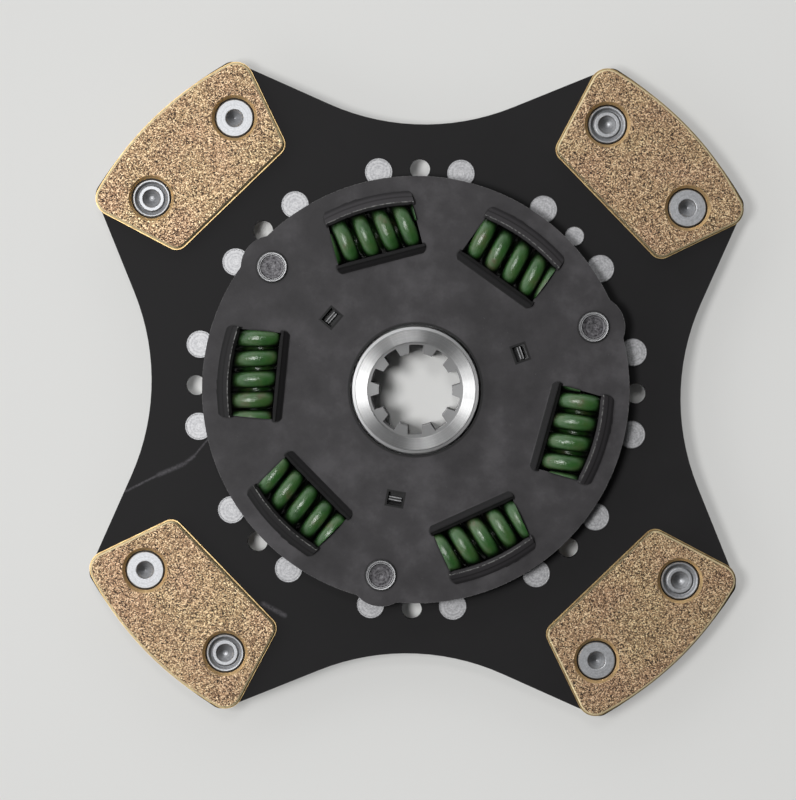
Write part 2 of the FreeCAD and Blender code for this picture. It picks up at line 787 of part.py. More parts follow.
# Friction pack: a ring behind the flange, and in front of it a ring, a support ring and a
# dished spring that presses them together.
rear_ring_inner = collar_radius + given["diaphragm_clearance"]
rear_ring_outer = rear_ring_inner + given["rear_ring_width"]
flat_ring("rear_friction_ring", rear_ring_inner, rear_ring_outer, drive_front, given["rear_space"])
pack_inner = hub_radius + given["ring_hub_clearance"]
support_outer = tab_circle + given["tab_thickness"] / 2
support_inner = tab_circle - given["tab_thickness"] / 2
front_ring_top = flange_front + given["front_ring_thickness"]
flat_ring("front_friction_ring", pack_inner, support_outer, flange_front, given["front_ring_thickness"])

support = new_body("support_ring")
support_sketch = new_sketch(support, "support_outline", height=front_ring_top)
circle(support_sketch, zero, zero, support_outer)
circle(support_sketch, zero, zero, pack_inner)
pad(support, support_sketch, "support_disc", given["support_ring_thickness"])
tab_sketch = new_sketch(support, "support_tab_outline", height=front_ring_top)
half_tab = given["tab_width"] / 2
tab_corner = root(support_outer * support_outer - half_tab * half_tab)
outline(tab_sketch, [
    turned(support_inner, -half_tab, given["damper_angle"]),
    turned(tab_corner, -half_tab, given["damper_angle"]),
    turned(tab_corner, half_tab, given["damper_angle"]),
    turned(support_inner, half_tab, given["damper_angle"]),
], {1: (support_outer, 1)})
tab_height = cover_front - given["tab_depth_below_face"] - front_ring_top
tab = pad(support, tab_sketch, "support_tab", tab_height)
polar(support, "support_tabs", tab, 3)
keep(support, "support_ring")

diaphragm = new_body("diaphragm_spring")
diaphragm_profile = new_sketch(diaphragm, "diaphragm_profile", role="XZ_Plane")
diaphragm_outer = support_inner - given["diaphragm_clearance"]
diaphragm_inner = diaphragm_outer - given["diaphragm_width"]
support_top = front_ring_top + given["support_ring_thickness"]
outline(diaphragm_profile, [
    (diaphragm_outer, support_top),
    (diaphragm_outer, support_top + given["diaphragm_thickness"]),
    (diaphragm_inner, cover_rear),
    (diaphragm_inner, cover_rear - given["diaphragm_thickness"]),
])
revolve(diaphragm, diaphragm_profile, "diaphragm_turning")
keep(diaphragm, "diaphragm_spring")

# Stop pins: spacers between the plates, riveted over at both ends.
pin = new_body("stop_pin_single")
pin_profile = new_sketch(pin, "stop_pin_profile", role="XZ_Plane")
shank = given["pin_shank_diameter"] / 2
shoulder = given["pin_diameter"] / 2
head = given["pin_head_diameter"] / 2
head_edge = given["pin_head_height"] / 3
head_top = cover_front + given["pin_head_height"]
head_bottom = drive_rear - given["pin_head_height"]
dish = given["pin_dish_radius"]
dish_depth = given["pin_dish_depth"]
outline(pin_profile, [
    (zero, head_bottom + dish_depth),
    (dish, head_bottom + dish_depth),
    (dish + dish_depth, head_bottom),
    (head - head_edge, head_bottom),
    (head, head_bottom + head_edge),
    (head, drive_rear),
    (shank, drive_rear),
    (shank, drive_front),
    (shoulder, drive_front),
    (shoulder, cover_rear),
    (shank, cover_rear),
    (shank, cover_front),
    (head, cover_front),
    (head, head_top - head_edge),
    (head - head_edge, head_top),
    (dish + dish_depth, head_top),
    (dish, head_top - dish_depth),
    (zero, head_top - dish_depth),
])
revolve(pin, pin_profile, "stop_pin_turning")


def rivet_turning(name, head_radius, head_height, shank_radius, front_end):
    """A rivet through the drive plate and the carrier: its rear head and shank, and its front end."""
    body = new_body(name)
    sketch = new_sketch(body, name + "_profile", role="XZ_Plane")
    head_chamfer = head_height / 2
    outline(sketch, [
        (zero, drive_rear - head_height),
        (head_radius - head_chamfer, drive_rear - head_height),
        (head_radius, drive_rear - head_chamfer),
        (head_radius, drive_rear),
        (shank_radius, drive_rear),
    ] + front_end)
    revolve(body, sketch, name + "_turning")
    return body


# Carrier rivets: a turned rear head, and a low flat head upset against the carrier.
carrier_rivet_shank = given["rivet_shank_diameter"] / 2
carrier_rivet_head = given["rivet_head_diameter"] / 2
front_head_height = given["rivet_front_head_height"]
plate_rivet = rivet_turning(
    "carrier_rivet_single", carrier_rivet_head, given["rivet_rear_head_height"], carrier_rivet_shank, [
        (carrier_rivet_shank, carrier_front),
        (carrier_rivet_head, carrier_front),
        (carrier_rivet_head, carrier_front + front_head_height / 2),
        (carrier_rivet_head - front_head_height / 2, carrier_front + front_head_height),
        (zero, carrier_front + front_head_height),
    ],
)

# Balance rivet: its shank fills the hole and ends just proud of the carrier.
balance_shank = balance_hole_radius - given["seat_clearance"]
balance_stand = given["balance_stand"]
balance_head = given["balance_head_diameter"] / 2
balance_rivet = rivet_turning(
    "balance_rivet_single", balance_head, given["balance_head_height"], balance_shank, [
        (balance_shank, carrier_front),
        (balance_shank - balance_stand, carrier_front + balance_stand),
        (zero, carrier_front + balance_stand),
    ],
)

# Pad rivets: a flat head with a dimple at one end, rolled over at the other.
pad_rivet = new_body("pad_rivet_single")
pad_rivet_profile = new_sketch(pad_rivet, "pad_rivet_profile", role="XZ_Plane")
half_stack = given["carrier_thickness"] / 2 + given["backing_thickness"]
seat_front = carrier_middle + half_stack
seat_rear = carrier_middle - half_stack
rivet_head = given["pad_rivet_head_diameter"] / 2
rivet_shank = given["pad_rivet_shank_diameter"] / 2
dimple = given["pad_rivet_dimple_diameter"] / 2
dimple_depth = given["pad_rivet_dimple_depth"]
head_height = given["pad_rivet_head_height"]
rivet_top = seat_front + head_height
rivet_bottom = seat_rear - head_height
edge_break = head_height / 4
roll_groove = (rivet_head + dimple) / 2
roll_land = (rivet_head - dimple) / 6
outline(pad_rivet_profile, [
    (zero, rivet_bottom + dimple_depth),
    (dimple - edge_break, rivet_bottom + dimple_depth),
    (dimple, rivet_bottom + edge_break),
    (roll_groove - roll_land, rivet_bottom + edge_break),
    (roll_groove, rivet_bottom + edge_break * 2),
    (roll_groove + roll_land, rivet_bottom),
    (rivet_head - edge_break, rivet_bottom),
    (rivet_head, rivet_bottom + edge_break),
    (rivet_head, seat_rear),
    (rivet_shank, seat_rear),
    (rivet_shank, seat_front),
    (rivet_head, seat_front),
    (rivet_head, rivet_top - edge_break),
    (rivet_head - edge_break, rivet_top),
    (dimple + edge_break, rivet_top),
    (dimple, rivet_top - edge_break),
    (dimple - edge_break, rivet_top - dimple_depth),
    (zero, rivet_top - dimple_depth),
])
revolve(pad_rivet, pad_rivet_profile, "pad_rivet_turning")


def paddle_outline(sketch, setback):
    """The paddle's outline on the X axis: straight inner edge, leaning sides, round outer edge.

    Gives back one inner and one outer corner.
    """
    lean = given["pad_side_angle"]
    arc_radius = given["pad_outer_arc_radius"]
    arc_centre = outer_radius - arc_radius
    start = given["pad_inner_distance"] + setback
    slope = sine(lean) / cosine(lean)
    inner_half = given["pad_inner_half_width"] + setback * slope - setback / cosine(lean)
    reach = arc_radius - setback
    from_centre = start - arc_centre
    along_side = from_centre * cosine(lean) + inner_half * sine(lean)
    off_side = inner_half * cosine(lean) - from_centre * sine(lean)
    run = root(reach * reach - off_side * off_side) - along_side
    outer_x = start + run * cosine(lean)
    outer_y = inner_half + run * sine(lean)
    outline(sketch, [
        (start, -inner_half),
        (outer_x, -outer_y),
        (outer_x, outer_y),
        (start, inner_half),
    ], {1: (reach, 1)})
    return (start, inner_half), (outer_x, outer_y)


def break_edges(body, name, base, edge_names, size):
    """A chamfer along the named edges, bound to a driving size."""
    edge_break = body.newObject("PartDesign::Chamfer", name)
    edge_break.Base = (base, edge_names)
    edge_break.setExpression("Size", size.text)
    body.Tip = edge_break


def edges_at(feature, level):
    """The names of a feature's edges that lie flat at a height, and the edges themselves."""
    return {
        "Edge%d" % number: edge
        for number, edge in enumerate(feature.Shape.Edges, start=1)
        if abs(edge.BoundBox.ZMin - level) < 0.001
    }


def paddle(name, height, thickness, setback, hole_radius, rim_break=None, hole_break=None):
    """One paddle-shaped layer with its two rivet holes, made on the X axis."""
    body = new_body(name)
    sketch = new_sketch(body, name + "_outline", height=height)
    inner_corner, outer_corner = paddle_outline(sketch, setback)
    layer = pad(body, sketch, name + "_layer", thickness)
    doc.recompute()
    inner_edges = upright_edges(layer, *inner_corner)
    layer = fillet(body, name + "_inner_corners", layer, inner_edges, given["pad_inner_corner"] - setback)
    doc.recompute()
    outer_edges = upright_edges(layer, *outer_corner)
    layer = fillet(body, name + "_outer_corners", layer, outer_edges, given["pad_outer_corner"] - setback)
    top = (height + thickness).number
    if rim_break is not None:
        doc.recompute()
        break_edges(body, name + "_rim_break", layer, list(edges_at(layer, top)), rim_break)
    holes = new_sketch(body, name + "_holes", height=height)
    for side in (-1, 1):
        hole_x, hole_y = turned(pad_rivet_circle, 0, given["pad_rivet_half_angle"] * side)
        circle(holes, hole_x, hole_y, hole_radius)
    layer = pocket(body, holes, name + "_hole_cut", thickness)
    if hole_break is not None:
        doc.recompute()
        hole_edges = [
            edge_name for edge_name, edge in edges_at(layer, top).items()
            if len(edge.Vertexes) == 1 and abs(edge.Curve.Radius - hole_radius.number) < 0.001
        ]
        break_edges(body, name + "_hole_break", layer, hole_edges, hole_break)
    return body


# Backing plates and facings: the front set, and the rear set turned over on the same lobes.
backing = paddle(
    "backing_single", carrier_front, given["backing_thickness"], zero, pad_rivet_hole_radius,
)
facing = paddle(
    "facing_single", carrier_front + given["backing_thickness"], given["facing_thickness"],
    given["facing_setback"], given["pad_recess_diameter"] / 2, given["facing_edge_chamfer"],
    given["pad_recess_chamfer"],
)


def bar_between(sections):
    """A solid bar with flat three-cornered facets between rings of corners."""
    facets = []

    def facet(points):
        facets.append(Part.Face(Part.makePolygon(points + points[:1])))

    facet(sections[0])
    facet(sections[-1])
    for near, far in zip(sections, sections[1:]):
        for side in range(len(near)):
            following = (side + 1) % len(near)
            facet([near[side], near[following], far[following]])
            facet([near[side], far[following], far[side]])
    return Part.makeSolid(Part.makeShell(facets))


# Coil spring: closed and ground at both ends, wound right-handed about the Z axis. Its wire
# is an eight-sided bar in straight steps, so that six springs stay light.
def coil_spring():
    wire_radius = given["spring_wire"].number / 2
    mean_radius = spring_radius.number - wire_radius
    closed_pitch = given["spring_wire"].number + given["spring_closed_gap"].number
    pitch = given["spring_pitch"].number
    ground = given["spring_ground_depth"].number
    length = given["spring_length"].number
    open_turns = (length + 2 * ground - 2 * closed_pitch) / pitch
    steps = round((open_turns + 2) * spring_steps_per_turn)
    sections = []
    for step in range(steps + 1):
        turns = (open_turns + 2) * step / steps
        open_part = min(max(turns - 1, 0), open_turns)
        height = (turns - open_part) * closed_pitch + open_part * pitch - length / 2 - ground
        rise = closed_pitch if open_part in (0, open_turns) else pitch
        lean = math.atan2(rise, 2 * math.pi * mean_radius)
        angle = 2 * math.pi * turns
        outward = FreeCAD.Vector(math.cos(angle), math.sin(angle), 0)
        sideways = FreeCAD.Vector(-math.sin(angle), math.cos(angle), 0)
        upward = shaft_axis * math.cos(lean) - sideways * math.sin(lean)
        centre = outward * mean_radius + shaft_axis * height
        corners = []
        for side in range(spring_wire_sides):
            turn = 2 * math.pi * (side + 0.5) / spring_wire_sides
            corners.append(centre + (outward * math.cos(turn) + upward * math.sin(turn)) * wire_radius)
        sections.append(corners)
    bar = bar_between(sections)
    side = given["spring_diameter"].number
    room = Part.makeBox(2 * side, 2 * side, length, FreeCAD.Vector(-side, -side, -length / 2))
    return bar.common(room)


doc.recompute()

for number in range(1, 5):
    angle = 45 + 90 * (number - 1)
    over = FreeCAD.Placement(origin, FreeCAD.Rotation(FreeCAD.Vector(1, 0, 0), 180))
    over.Base = FreeCAD.Vector(0, 0, 2 * carrier_middle.number)
    for side, flip in (("front", FreeCAD.Placement()), ("rear", over)):
        seat = about_shaft(angle).multiply(flip)
        placed_copy("%s_backing_%d" % (side, number), backing.Shape, seat)
        placed_copy("%s_facing_%d" % (side, number), facing.Shape, seat)

pad_rivet_over = pad_rivet.Shape.copy()
pad_rivet_over.rotate(FreeCAD.Vector(0, 0, carrier_middle.number), FreeCAD.Vector(1, 0, 0), 180)
half_rivet_angle = given["pad_rivet_half_angle"].number
lobe_angles = [45 + 90 * quarter for quarter in range(4)]
ring_of_copies(
    "pad_rivets_head_front", pad_rivet.Shape, pad_rivet_circle,
    [angle - half_rivet_angle for angle in lobe_angles],
)
ring_of_copies(
    "pad_rivets_head_rear", pad_rivet_over, pad_rivet_circle,
    [angle + half_rivet_angle for angle in lobe_angles],
)
rivet_angles = [
    45 * eighth + given["rivet_half_angle"].number * side for eighth in range(8) for side in (-1, 1)
]
ring_of_copies("carrier_rivets", plate_rivet.Shape, rivet_circle, rivet_angles)
ring_of_copies("balance_rivet", balance_rivet.Shape, rivet_circle, [45])
pin_angles = [given["damper_angle"].number + 120 * third for third in range(3)]
ring_of_copies("stop_pins", pin.Shape, pin_circle, pin_angles)

spring_shape = coil_spring()
lay_down = FreeCAD.Rotation(FreeCAD.Vector(1, 0, 0), -90)
for number, angle in enumerate(spring_angles, start=1):
    centre = FreeCAD.Vector(spring_circle.number, 0, spring_height.number)
    start_angle = given["spring_%d_start_angle" % number].number
    wire_start = FreeCAD.Rotation(shaft_axis, -90 - start_angle)
    seat = FreeCAD.Placement(centre, lay_down.multiply(wire_start))
    placed_copy("spring_%d" % number, spring_shape, about_shaft(angle).multiply(seat))

doc.recompute()

# Every feature has to be sound before anything is written.
for item in doc.Objects:
    faults = [state for state in item.State if state in ("Invalid", "Error")]
    if faults:
        raise RuntimeError("%s is %s" % (item.Name, ", ".join(faults)))
for item in nodes:
    if item.Shape.isNull() or not item.Shape.isValid():
        raise RuntimeError("%s has no valid shape" % item.Label)

os.makedirs("parts", exist_ok=True)
for item in nodes:
    item.Shape.exportStep(os.path.join("parts", item.Label + ".step"))
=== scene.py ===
import math
import bpy
from mathutils import Matrix, Vector


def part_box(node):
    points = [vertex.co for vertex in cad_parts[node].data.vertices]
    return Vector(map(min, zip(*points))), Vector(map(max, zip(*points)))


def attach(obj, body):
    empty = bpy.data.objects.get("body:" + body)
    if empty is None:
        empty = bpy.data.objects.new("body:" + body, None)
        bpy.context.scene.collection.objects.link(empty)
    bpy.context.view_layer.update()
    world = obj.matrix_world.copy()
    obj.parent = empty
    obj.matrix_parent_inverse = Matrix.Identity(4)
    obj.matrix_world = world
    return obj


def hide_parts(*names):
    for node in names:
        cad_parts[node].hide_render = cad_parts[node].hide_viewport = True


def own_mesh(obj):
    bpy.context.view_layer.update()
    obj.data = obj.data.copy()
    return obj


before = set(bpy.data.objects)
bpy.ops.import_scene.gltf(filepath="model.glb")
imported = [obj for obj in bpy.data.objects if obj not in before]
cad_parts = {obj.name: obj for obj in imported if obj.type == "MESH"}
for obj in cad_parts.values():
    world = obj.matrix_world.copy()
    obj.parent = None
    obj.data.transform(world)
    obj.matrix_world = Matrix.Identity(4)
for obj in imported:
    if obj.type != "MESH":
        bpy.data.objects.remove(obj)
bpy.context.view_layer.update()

# Hub: one steel forging, turned on its barrel and front face, with the spline broached through
# it. Its flange lies between the plates and turns a little against them.
MM = 0.001


def linear(colour):
    """A colour written as sRGB hex, as linear red, green, blue and alpha."""
    channels = [int(colour[start:start + 2], 16) / 255 for start in (1, 3, 5)]
    return [c / 12.92 if c <= 0.04045 else ((c + 0.055) / 1.055) ** 2.4 for c in channels] + [1.0]


def add(tree, kind, inputs=None, stops=None, **settings):
    """Adds one shader node: settings, a ramp's stops, and inputs by name or number, as values or links."""
    node = tree.nodes.new("ShaderNode" + kind)
    for name, value in settings.items():
        setattr(node, name, value)
    for number, (place, colour) in enumerate(stops or []):
        band = node.color_ramp.elements
        stop = band[number] if number < len(band) else band.new(place)
        stop.position = place
        stop.color = linear(colour)
    for name, value in (inputs or {}).items():
        if isinstance(value, bpy.types.NodeSocket):
            tree.links.new(value, node.inputs[name])
        else:
            node.inputs[name].default_value = value
    return node


def new_finish(name):
    """An empty material, its node tree, and a point in the disc's frame in millimetres."""
    finish = bpy.data.materials.new(name)
    finish.use_nodes = True
    tree = finish.node_tree
    tree.nodes.clear()
    place = add(tree, "TexCoord").outputs["Object"]
    point = add(tree, "VectorMath", {0: place, "Scale": 1 / MM}, operation="SCALE").outputs[0]
    return finish, tree, point


def dress(names, finish):
    """Gives the named pieces of the frame a finish all over."""
    for name in names:
        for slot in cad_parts[name].material_slots:
            slot.link = "OBJECT"
            slot.material = finish


TURNING_FEED = 0.14       # millimetres between two turning marks, coarser than real so that they show
FACE_CLOUD = 4.0          # millimetres across a slightly rougher patch of the turned face
RING_RADIUS = 16.8        # near the middle of the turned ring
STREAK_WIDTH = 7.0        # millimetres across a faint streak there
TEETH_RADIUS = 15.0       # the broached teeth lie inside this radius
CHAMFER_RADIUS = 19.05    # where the ring breaks into its outer chamfer
FLANGE_START = 21.0       # the flange lies beyond the barrel

# Turned steel: its fine rings draw a highlight out into a bright bow tie. The broached teeth stay
# dull, and the flange keeps its dark forged skin.
turned_steel, tree, point = new_finish("turned_forged_steel")
flat = add(tree, "VectorMath", {0: point, 1: (1, 1, 0)}, operation="MULTIPLY").outputs[0]
radius = add(tree, "VectorMath", {0: flat}, operation="LENGTH").outputs["Value"]
feed = add(tree, "Math", {0: radius, 1: 1 / TURNING_FEED}, operation="MULTIPLY").outputs[0]
marks = add(tree, "TexNoise", {"W": feed, "Scale": 1.0, "Detail": 3.0}, noise_dimensions="1D").outputs[0]
cloud = add(tree, "TexNoise", {"Vector": point, "Scale": 1 / FACE_CLOUD, "Detail": 4.0}).outputs[0]
inside = add(tree, "Math", {0: radius, 1: TEETH_RADIUS}, operation="LESS_THAN").outputs[0]
compass = add(tree, "VectorMath", {0: flat}, operation="NORMALIZE").outputs[0]
streaks = add(tree, "TexNoise", {
    "Vector": compass, "Scale": RING_RADIUS / STREAK_WIDTH, "Detail": 4.0, "Roughness": 0.6,
}).outputs[0]
pale = add(tree, "ValToRGB", {0: marks}, stops=[(0.3, "#868686"), (0.7, "#aeaeae")]).outputs[0]
streaked = add(tree, "ValToRGB", {0: streaks}, stops=[(0.35, "#e2e2e2"), (0.6, "#ffffff")]).outputs[0]
tone = add(tree, "Mix", {0: 1.0, 6: pale, 7: streaked}, data_type="RGBA", blend_type="MULTIPLY").outputs[2]
dulled = add(tree, "Mix", {0: inside, 6: tone, 7: linear("#8b8b8b")}, data_type="RGBA").outputs[2]
outside = add(tree, "Math", {0: radius, 1: CHAMFER_RADIUS}, operation="GREATER_THAN").outputs[0]
rimmed = add(tree, "Mix", {0: outside, 6: dulled, 7: linear("#c9c9c9")}, data_type="RGBA").outputs[2]
on_flange = add(tree, "Math", {0: radius, 1: FLANGE_START}, operation="GREATER_THAN").outputs[0]
forged = add(tree, "Mix", {0: on_flange, 6: rimmed, 7: linear("#1d1c1d")}, data_type="RGBA").outputs[2]
bare_metal = add(tree, "MapRange", {0: inside, 3: 1.0, 4: 0.6}).outputs[0]
metal = add(tree, "MapRange", {0: on_flange, 3: bare_metal, 4: 0.2}).outputs[0]
turned_rough = add(tree, "MapRange", {0: cloud, 3: 0.34, 4: 0.4}).outputs[0]
rough = add(tree, "Math", {0: inside, 1: 0.2, 2: turned_rough}, operation="MULTIPLY_ADD").outputs[0]
rings = add(tree, "Bump", {"Height": marks, "Distance": 0.004 * MM, "Strength": 0.6}).outputs[0]
around = add(tree, "Tangent", direction_type="RADIAL", axis="Z").outputs[0]
shader = add(tree, "BsdfPrincipled", {
    "Base Color": forged, "Metallic": metal, "Roughness": rough, "Anisotropic": 1.0,
    "Anisotropic Rotation": 0.25, "Tangent": around, "Normal": rings,
})
add(tree, "OutputMaterial", {"Surface": shader.outputs[0]})
dress(["hub"], turned_steel)

# Springs: six coils of round steel wire, wound cold, ground flat at both ends and dipped in
# paint. Each lies in a window of both plates and of the hub's flange.
DAMPER_ANGLE = 20.5       # degrees round the shaft to the first stop pin
SPRING_HALF_ANGLE = 34.9  # degrees from a stop pin to the spring on either side
SPRING_CIRCLE = 51.2      # millimetres from the shaft's axis to the middle of a coil
SPRING_HEIGHT = 15.25     # halfway between the two plates
SPRING_RADIUS = 10.0
SPRING_LENGTH = 27.4
SPRING_WIRE_RADIUS = 2.75
SPRING_PITCH = 6.6
SPRING_CLOSED_PITCH = 5.55   # in the closed turn at each end
SPRING_GROUND_DEPTH = 1.9    # what is ground off each end
SPRING_STARTS = (24, 63, -3, -79, -139, -156)   # where each wire happens to start, in degrees
WIRE_SIDES = 28
STEPS_PER_TURN = 44
GROUND_CORNER = 40        # degrees from which a corner looks sharp, as round a ground end
PAINT_PATCH = 6.25        # millimetres across a patch of paint of one colour
PAINT_SPECK = 0.667       # across a dark speck
PAINT_RIPPLE = 1.11       # across a wave in the paint's surface
PAINT_FLECK = 0.714       # across a bump, coarser than the real dust in the paint so that it shows
GAP_REACH = 6.5           # millimetres, about the depth between two turns

# Dip paint: glossy and a little wavy, in dark green with olive and brown patches and dark
# specks, with painted shade nearly black deep between the turns.
green_paint, tree, point = new_finish("green_dip_paint")
patches = add(tree, "TexNoise", {
    "Vector": point, "Scale": 1 / PAINT_PATCH, "Detail": 3.0, "Roughness": 0.6,
}).outputs[0]
specks = add(tree, "TexNoise", {
    "Vector": point, "Scale": 1 / PAINT_SPECK, "Detail": 3.0, "Roughness": 0.7,
}).outputs[0]
ripple = add(tree, "TexNoise", {
    "Vector": point, "Scale": 1 / PAINT_RIPPLE, "Detail": 4.0, "Roughness": 0.65,
}).outputs[0]
flecks = add(tree, "TexNoise", {
    "Vector": point, "Scale": 1 / PAINT_FLECK, "Detail": 3.0, "Roughness": 0.7,
}).outputs[0]
paint = add(tree, "ValToRGB", {0: patches}, stops=[
    (0.3, "#1e4716"), (0.45, "#295720"), (0.6, "#385826"), (0.7, "#4c5330"), (0.82, "#504433"),
]).outputs[0]
speck_mask = add(tree, "ValToRGB", {0: specks}, stops=[(0.29, "#ffffff"), (0.34, "#000000")]).outputs[0]
speckled = add(tree, "Mix", {0: speck_mask, 6: paint, 7: linear("#1d2f1a")}, data_type="RGBA").outputs[2]
# Painted shade: the paint is darkened towards black where the turns hide each other.
gap_occlusion = add(tree, "AmbientOcclusion", {"Distance": GAP_REACH * MM}, samples=8).outputs["AO"]
painted_gap_shade = add(tree, "ValToRGB", {0: gap_occlusion}, stops=[
    (0.3, "#020302"), (0.55, "#767676"), (0.8, "#ffffff"),
]).outputs[0]
shaded = add(tree, "Mix", {0: 1.0, 6: speckled, 7: painted_gap_shade},
             data_type="RGBA", blend_type="MULTIPLY").outputs[2]
rough = add(tree, "MapRange", {0: ripple, 1: 0.3, 2: 0.7, 3: 0.3, 4: 0.46}).outputs[0]
swell = add(tree, "Bump", {"Height": ripple, "Distance": 0.1 * MM, "Strength": 0.6}).outputs[0]
skin = add(tree, "Bump", {
    "Height": flecks, "Distance": 0.14 * MM, "Strength": 0.9, "Normal": swell,
}).outputs[0]
shader = add(tree, "BsdfPrincipled", {
    "Base Color": shaded, "Metallic": 0.0, "Roughness": rough, "IOR": 1.5, "Normal": skin,
    "Coat Weight": 1.0, "Coat Roughness": 0.23, "Coat Normal": skin,
})
add(tree, "OutputMaterial", {"Surface": shader.outputs[0]})


def coil_rings():
    """Rings of points round the wire's centre line, with the ends ground flat."""
    middle_radius = SPRING_RADIUS - SPRING_WIRE_RADIUS
    wound_length = SPRING_LENGTH + 2 * SPRING_GROUND_DEPTH
    open_turns = (wound_length - 2 * SPRING_CLOSED_PITCH) / SPRING_PITCH
    steps = round((open_turns + 2) * STEPS_PER_TURN)
    for step in range(steps + 1):
        turns = (open_turns + 2) * step / steps
        opened = min(max(turns - 1, 0), open_turns)
        height = (turns - opened) * SPRING_CLOSED_PITCH + opened * SPRING_PITCH - wound_length / 2
        angle = 2 * math.pi * turns
        outward = Vector((math.cos(angle), math.sin(angle), 0))
        ring = []
        for side in range(WIRE_SIDES):
            turn = 2 * math.pi * side / WIRE_SIDES
            across = SPRING_WIRE_RADIUS * math.cos(turn)
            up = SPRING_WIRE_RADIUS * math.sin(turn)
            # What would stand past a ground end lies in its flat face instead.
            for end in (-1, 1):
                room = end * SPRING_LENGTH / 2 - height
                if up * end > room * end:
                    half_chord = math.sqrt(max(SPRING_WIRE_RADIUS ** 2 - room ** 2, 0))
                    across = max(-half_chord, min(half_chord, across))
                    up = room
            ring.append(outward * (middle_radius + across) + Vector((0, 0, height + up)))
        yield ring


def coil_spring(number, angle, rings):
    """One coil, laid down across the line from the shaft to its window."""
    swing = Matrix.Rotation(math.radians(angle), 3, "Z")
    middle = Vector((SPRING_CIRCLE, 0, SPRING_HEIGHT))
    wire_start = Matrix.Rotation(math.radians(-90 - SPRING_STARTS[number - 1]), 4, "Z")
    lay_down = Matrix.Rotation(math.radians(-90), 4, "X") @ wire_start
    seat = swing.to_4x4() @ Matrix.Translation(middle)
    points = [seat @ lay_down @ point * MM for ring in rings for point in ring]
    faces = [list(range(WIRE_SIDES)), list(range(len(points) - 1, len(points) - 1 - WIRE_SIDES, -1))]
    for row in range(len(rings) - 1):
        for side in range(WIRE_SIDES):
            following = (side + 1) % WIRE_SIDES
            near, far = row * WIRE_SIDES, (row + 1) * WIRE_SIDES
            faces.append([near + side, far + side, far + following, near + following])
    mesh = bpy.data.meshes.new("spring_coil_%d" % number)
    mesh.from_pydata(points, [], faces)
    mesh.polygons.foreach_set("use_smooth", [True] * len(mesh.polygons))
    mesh.set_sharp_from_angle(angle=math.radians(GROUND_CORNER))
    mesh.materials.append(green_paint)
    coil = bpy.data.objects.new("spring_coil_%d" % number, mesh)
    bpy.context.scene.collection.objects.link(coil)
    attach(coil, "springs")
    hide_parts("spring_%d" % number)
    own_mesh(coil)


wire_rings = list(coil_rings())
for third in range(3):
    for side in (0, 1):
        angle = DAMPER_ANGLE + 120 * third + SPRING_HALF_ANGLE * (2 * side - 1)
        coil_spring(2 * third + side + 1, angle, wire_rings)

# Carrier plate: one laser-cut steel sheet with four lobes, which carry the facings, and a black
# oxide skin. Two pale smears have been wiped onto it, one at each side of its lower left lobe.
CARRIER_FRONT = 12.5
OXIDE_CLOUD = 28.6        # millimetres across a slightly paler cloud
OXIDE_GRAIN = 0.455       # millimetres, coarser than the real grain so that it shows
SMEARS = [                # where each streak starts and ends on the plate, and its half width
    ((-91.8, -34.2), (-81.5, -28.8), 0.6),
    ((-81.5, -28.8), (-73.5, -25.2), 1.1),
    ((-73.5, -25.2), (-70.3, -22.6), 0.9),
    ((-70.3, -22.6), (-65.7, -16.8), 0.5),
    ((-47.4, -69.3), (-40.5, -72.9), 1.2),
]

# Black oxide: near black and matt, with a faint cloud and only a weak sheen.
black_oxide, tree, point = new_finish("black_oxide_sheet")
cloud = add(tree, "TexNoise", {
    "Vector": point, "Scale": 1 / OXIDE_CLOUD, "Detail": 4.0, "Roughness": 0.6,
}).outputs[0]
fine = add(tree, "TexNoise", {"Vector": point, "Scale": 1 / OXIDE_GRAIN, "Detail": 3.0}).outputs[0]
tone = add(tree, "ValToRGB", {0: cloud}, stops=[(0.3, "#131213"), (0.7, "#1c1b1c")]).outputs[0]
rough = add(tree, "MapRange", {0: cloud, 3: 0.55, 4: 0.7}).outputs[0]
grain = add(tree, "Bump", {"Height": fine, "Distance": 0.02 * MM, "Strength": 0.3}).outputs[0]


def smear(start, end, width):
    """How strongly a wiped streak between two places on the plate shows at each point."""
    run = Vector((*end, 0)) - Vector((*start, 0))
    offset = add(tree, "VectorMath", {0: point, 1: (*start, CARRIER_FRONT)}, operation="SUBTRACT").outputs[0]
    along = add(tree, "VectorMath", {0: offset, 1: run / run.length_squared}, operation="DOT_PRODUCT")
    share = add(tree, "Clamp", {0: along.outputs["Value"]}).outputs[0]
    nearest = add(tree, "VectorMath", {0: run, "Scale": share}, operation="SCALE").outputs[0]
    away = add(tree, "VectorMath", {0: offset, 1: nearest}, operation="DISTANCE").outputs["Value"]
    return add(tree, "MapRange", {0: away, 1: width, 2: 0.0}, interpolation_type="SMOOTHSTEP").outputs[0]


streaks = [smear(start, end, width) for start, end, width in SMEARS]
smeared = streaks[0]
for streak in streaks[1:]:
    smeared = add(tree, "Math", {0: smeared, 1: streak}, operation="MAXIMUM").outputs[0]
patchy = add(tree, "MapRange", {0: fine, 1: 0.3, 2: 0.6, 3: 0.25, 4: 1.0}).outputs[0]
wiped = add(tree, "Math", {0: smeared, 1: patchy}, operation="MULTIPLY").outputs[0]
marked = add(tree, "Mix", {0: wiped, 6: tone, 7: linear("#4f4d50")}, data_type="RGBA").outputs[2]
shader = add(tree, "BsdfPrincipled", {
    "Base Color": marked, "Metallic": 0.0, "Roughness": rough, "Specular IOR Level": 0.18, "Normal": grain,
})
add(tree, "OutputMaterial", {"Surface": shader.outputs[0]})
dress(["carrier_plate"], black_oxide)

